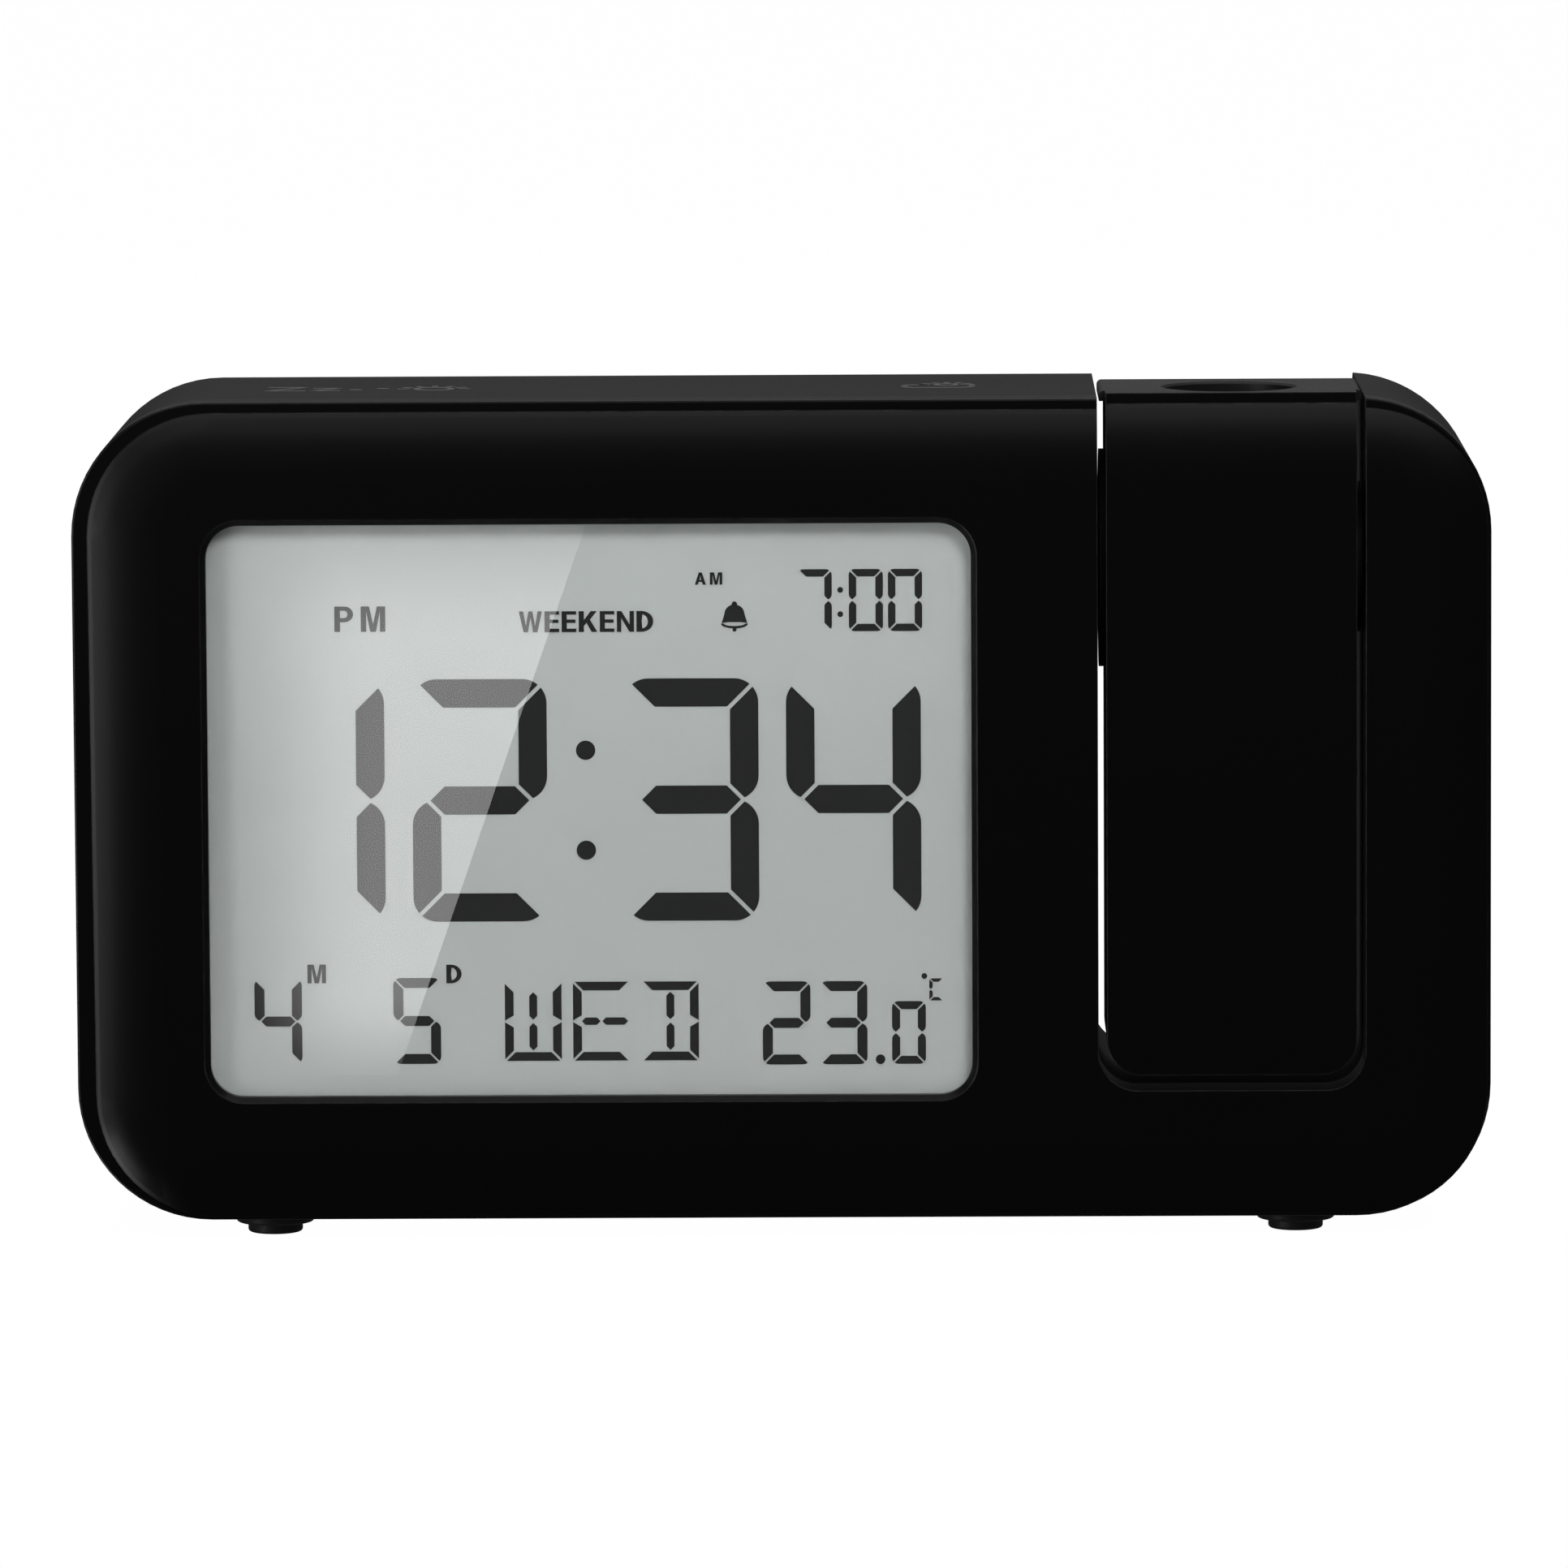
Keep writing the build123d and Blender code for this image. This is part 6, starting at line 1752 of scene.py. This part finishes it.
    def _inlet_sign(self) -> bpy.types.Object:
        """The sign of direct current over the inlet: a long dash over three short ones.

        Returns:
            The piece.
        """
        low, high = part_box("power_inlet")
        half, dash = 1.7, self.inlet_dash
        dashes = [bar((-half, dash), (half, dash), self.hand)]
        dashes += [bar((start, 0.0), (start + dash, 0.0), self.hand)
                   for start in (-half, -dash / 2, half - dash)]
        placed = moved(dashes, -(low.x + high.x) / 2 / MM, high.z / MM + self.inlet_rise)
        return plate("inlet_sign", placed, Face.REAR, self._back(), self.film)


def dress(piece: bpy.types.Object, material: bpy.types.Material, body: str) -> None:
    """Gives a new piece its material and body.

    Args:
        piece: The piece.
        material: Its material.
        body: Body that carries it.
    """
    piece.data.materials.clear()
    piece.data.materials.append(material)
    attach(piece, body)
    LOG.info("%s rides on %s", piece.name, body)


@dataclass
class PackedPieces:
    """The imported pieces, which keep their shape and get their finish.

    Attributes:
        finishes: Materials by name.
    """

    finishes: dict[str, bpy.types.Material]

    def build(self) -> None:
        """Puts each finish on the nodes that have it."""
        for finish, nodes in NODE_FINISH.items():
            for node in nodes:
                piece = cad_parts[node]
                for slot in piece.material_slots:
                    slot.material = self.finishes[finish]
                LOG.info("%s is %s", node, finish)


# ---------------------------------------------------------------- studio


@dataclass
class Softbox:
    """One rectangular lamp that looks at the clock.

    Attributes:
        name: Name of the lamp.
        place: Its place in metres.
        aim: The point that it looks at.
        size: Its width and height in metres.
        power: Its power in watts.
        gloss: Whether surfaces mirror it.
        diffuse: Whether it lights surfaces evenly.
    """

    name: str
    place: tuple[float, float, float]
    aim: tuple[float, float, float]
    size: tuple[float, float]
    power: float
    gloss: bool = True
    diffuse: bool = True

    def build(self) -> None:
        """Makes the lamp."""
        light = bpy.data.lights.new(self.name, "AREA")
        light.shape = "RECTANGLE"
        light.size, light.size_y = self.size
        light.energy = self.power
        lamp = bpy.data.objects.new(self.name, light)
        bpy.context.scene.collection.objects.link(lamp)
        lamp.location = self.place
        away = Vector(self.place) - Vector(self.aim)
        lamp.rotation_mode = "QUATERNION"
        lamp.rotation_quaternion = away.to_track_quat("Z", "Y")
        lamp.visible_camera = False
        lamp.visible_glossy = self.gloss
        lamp.visible_diffuse = self.diffuse


@dataclass
class Studio:
    """Camera, lamps, background and floor.

    Attributes:
        eye: Place of the camera in metres.
        yaw: Turn of the view to the right, in radians.
        pitch: Turn of the view down, in radians.
        roll: Roll of the camera, in radians.
        lens: Focal length in millimetres.
        sensor: Width of the camera's sensor in millimetres.
        sight: Nearest and farthest distance that the camera sees, in metres.
        floor_front: Front edge of the floor in metres.
        floor_back: Far edge of the floor in metres.
        floor_half: Half the floor's width in metres.
        floor_tones: The two tones of the floor.
        floor_cells: Cells per metre of their pattern.
        floor_glow: Share of plain white in the floor's look.
        floor_white: Strength of that white.
        floor_roughness: Roughness of the floor.
        floor_specular: Strength of the floor's reflection.
        room: Level of the room that the clock mirrors.
        boxes: The lamps.
    """

    eye: tuple[float, float, float] = (0.0164, -1.4225, 0.2150)
    yaw: float = -0.01154
    pitch: float = 0.11258
    roll: float = -0.00554
    lens: float = 263.1
    sensor: float = 36.0
    sight: Point = (0.05, 50.0)
    floor_front: float = -0.12
    floor_back: float = 6.0
    floor_half: float = 3.0
    floor_tones: tuple[Colour, Colour] = (grey(165), grey(160))
    floor_cells: float = 3.0
    floor_glow: float = 0.9
    floor_white: float = 1.1
    floor_roughness: float = 0.8
    floor_specular: float = 0.1
    room: float = 0.12
    boxes: list[Softbox] = field(default_factory=lambda: [
        Softbox("front_key", (0.43, -1.2, 0.95), (-0.01, 0.0, 0.05), (0.5, 0.5), 8.0, gloss=False),
        Softbox("front_top", (0.0, -0.75, 0.68), (0.0, 0.0, 0.08), (1.3, 0.25), 2.9, diffuse=False),
        Softbox("overhead", (0.0, 0.05, 0.95), (0.0, 0.0, 0.05), (1.1, 0.8), 3.3),
        Softbox("left_strip", (-1.0, -0.75, -0.1), (-0.08, 0.0, 0.06), (0.13, 1.5), 13.3, diffuse=False),
        Softbox("left_low", (-0.8, -0.74, -0.68), (-0.08, 0.0, 0.02), (0.2, 0.6), 9.5, diffuse=False),
        Softbox("rear_fill", (0.0, 0.9, 1.0), (0.0, 0.0, 0.05), (1.2, 0.3), 3.0),
    ])

    def build(self) -> None:
        """Makes the whole studio."""
        scene = bpy.context.scene
        scene.view_settings.view_transform = "Standard"
        self._camera()
        self._world()
        self._floor()
        for box in self.boxes:
            box.build()

    def _camera(self) -> None:
        """Makes the camera."""
        data = bpy.data.cameras.new("camera")
        data.lens = self.lens
        data.sensor_width = self.sensor
        data.clip_start, data.clip_end = self.sight
        camera = bpy.data.objects.new("camera", data)
        bpy.context.scene.collection.objects.link(camera)
        facing = math.cos(self.pitch)
        ahead = Vector((math.sin(self.yaw) * facing, math.cos(self.yaw) * facing, -math.sin(self.pitch)))
        level = Vector((math.cos(self.yaw), -math.sin(self.yaw), 0.0))
        above = level.cross(ahead)
        right = level * math.cos(self.roll) + above * math.sin(self.roll)
        up = above * math.cos(self.roll) - level * math.sin(self.roll)
        turned = Matrix((right, up, -ahead)).transposed().to_4x4()
        camera.matrix_world = Matrix.Translation(self.eye) @ turned
        bpy.context.scene.camera = camera

    def _world(self) -> None:
        """White background for the camera, and a dim room for what the clock mirrors."""
        world = bpy.data.worlds.new("studio")
        bpy.context.scene.world = world
        world.use_nodes = True
        world.node_tree.nodes.clear()
        graph = Graph(world.node_tree)
        room, white = graph.add("ShaderNodeBackground"), graph.add("ShaderNodeBackground")
        graph.feed(room.inputs["Color"], (self.room, self.room, self.room))
        graph.feed(white.inputs["Color"], (1.0, 1.0, 1.0))
        seen = graph.add("ShaderNodeLightPath").outputs["Is Camera Ray"]
        sky = graph.mix(seen, room.outputs[0], white.outputs[0])
        graph.feed(graph.add("ShaderNodeOutputWorld").inputs["Surface"], sky)

    def _floor(self) -> None:
        """A plain pale floor that keeps the clock's shadow and is see-through from below."""
        shape = bmesh.new()
        corners = ((-self.floor_half, self.floor_front), (self.floor_half, self.floor_front),
                   (self.floor_half, self.floor_back), (-self.floor_half, self.floor_back))
        shape.faces.new([shape.verts.new((x, y, 0.0)) for x, y in corners])
        floor = mesh_object("floor", shape)
        floor.visible_glossy = False
        material, graph = blank_material("pale_floor")
        shader = graph.add("ShaderNodeBsdfPrincipled")
        tone = graph.blend(graph.noise(graph.place(), self.floor_cells), *self.floor_tones)
        graph.feed(shader.inputs["Base Color"], tone)
        shader.inputs["Roughness"].default_value = self.floor_roughness
        shader.inputs["Specular IOR Level"].default_value = self.floor_specular
        glow = graph.add("ShaderNodeEmission")
        glow.inputs["Color"].default_value = opaque((1.0, 1.0, 1.0))
        glow.inputs["Strength"].default_value = self.floor_white
        path = graph.add("ShaderNodeLightPath")
        seen = graph.math("MAXIMUM", path.outputs["Is Camera Ray"], path.outputs["Is Transmission Ray"])
        lit = graph.math("MULTIPLY", seen, self.floor_glow)
        above = graph.mix(lit, shader.outputs[0], glow.outputs[0])
        below = graph.add("ShaderNodeBsdfTransparent").outputs[0]
        look = graph.mix(graph.add("ShaderNodeNewGeometry").outputs["Backfacing"], above, below)
        graph.feed(graph.add("ShaderNodeOutputMaterial").inputs["Surface"], look)
        floor.data.materials.append(material)


@dataclass
class GlareCard:
    """A lit card in front of the clock whose reflection lies over the left part of the window.

    Its mesh is drawn in the window's own coordinates and scaled about the eye's mirror image, so
    that each point of the card is mirrored to the window point with the same coordinates.

    Attributes:
        eye: Place of the camera in metres.
        depth: Place of the card along Y.
        line_top: Upper end of the card's straight right edge, on the window.
        line_base: Lower end of that edge.
        left: Left edge of the card on the window.
        rise_left: Where the light rises from the left, from nothing to full.
        rise_top: Where it rises from the top.
        rise_base: Where it rises from the bottom.
        strength: Full strength of its light.
    """

    eye: tuple[float, float, float]
    depth: float = -1.2
    line_top: Point = (-0.0240, 0.0885)
    line_base: Point = (-0.0477, 0.0205)
    left: float = -0.0765
    rise_left: Point = (-0.0690, -0.0495)
    rise_top: Point = (0.0955, 0.0720)
    rise_base: Point = (0.0175, 0.0315)
    strength: float = 3.6

    def build(self) -> None:
        """Makes the card, which only the window mirrors."""
        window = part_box("display_window")[0].y
        grow = 1.0 + (window - self.depth) / (window - self.eye[1])
        shape = bmesh.new()
        corners = (self.line_top, self.line_base, (self.left, self.line_base[1]),
                   (self.left, self.line_top[1]))
        shape.faces.new([shape.verts.new((x, 0.0, z)) for x, z in corners])
        card = mesh_object("glare_card", shape)
        card.location = (self.eye[0] * (1.0 - grow), self.depth, self.eye[2] * (1.0 - grow))
        card.scale = (grow, 1.0, grow)
        card.data.materials.append(self._light())
        card.visible_camera = False
        card.visible_diffuse = False
        card.visible_transmission = False
        card.visible_shadow = False
        mirror = bpy.data.collections.new("mirrors_glare")
        mirror.objects.link(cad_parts["display_window"])
        card.light_linking.receiver_collection = mirror

    def _light(self) -> bpy.types.Material:
        """The card's light, which fades to the left, the top and the bottom.

        Returns:
            The material.
        """
        material, graph = blank_material("glare_light")
        where = graph.parts_of(graph.place())
        level: object = self.strength
        for axis, (start, end) in (("X", self.rise_left), ("Z", self.rise_top), ("Z", self.rise_base)):
            low, high = (0.0, 1.0) if start < end else (1.0, 0.0)
            rise = graph.scale(where[axis], low, high, min(start, end), max(start, end))
            rise.node.interpolation_type = "SMOOTHSTEP"
            level = graph.math("MULTIPLY", rise, level)
        glow = graph.add("ShaderNodeEmission")
        graph.feed(glow.inputs["Strength"], level)
        graph.feed(graph.add("ShaderNodeOutputMaterial").inputs["Surface"], glow.outputs[0])
        return material


def main() -> None:
    """Builds the clock's looks and the studio in order."""
    logging.basicConfig(level=logging.INFO, format="%(name)s: %(message)s")
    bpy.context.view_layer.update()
    effects = Effects()
    finishes = {finish.name: finish.build(effects) for finish in FINISHES}
    studio = Studio()
    studio.build()
    GlareCard(studio.eye).build()
    PackedPieces(finishes).build()
    Display(finishes).build()
    TopMarks(finishes).build()
    RearMarks(finishes).build()


if __name__ == "__main__":
    main()
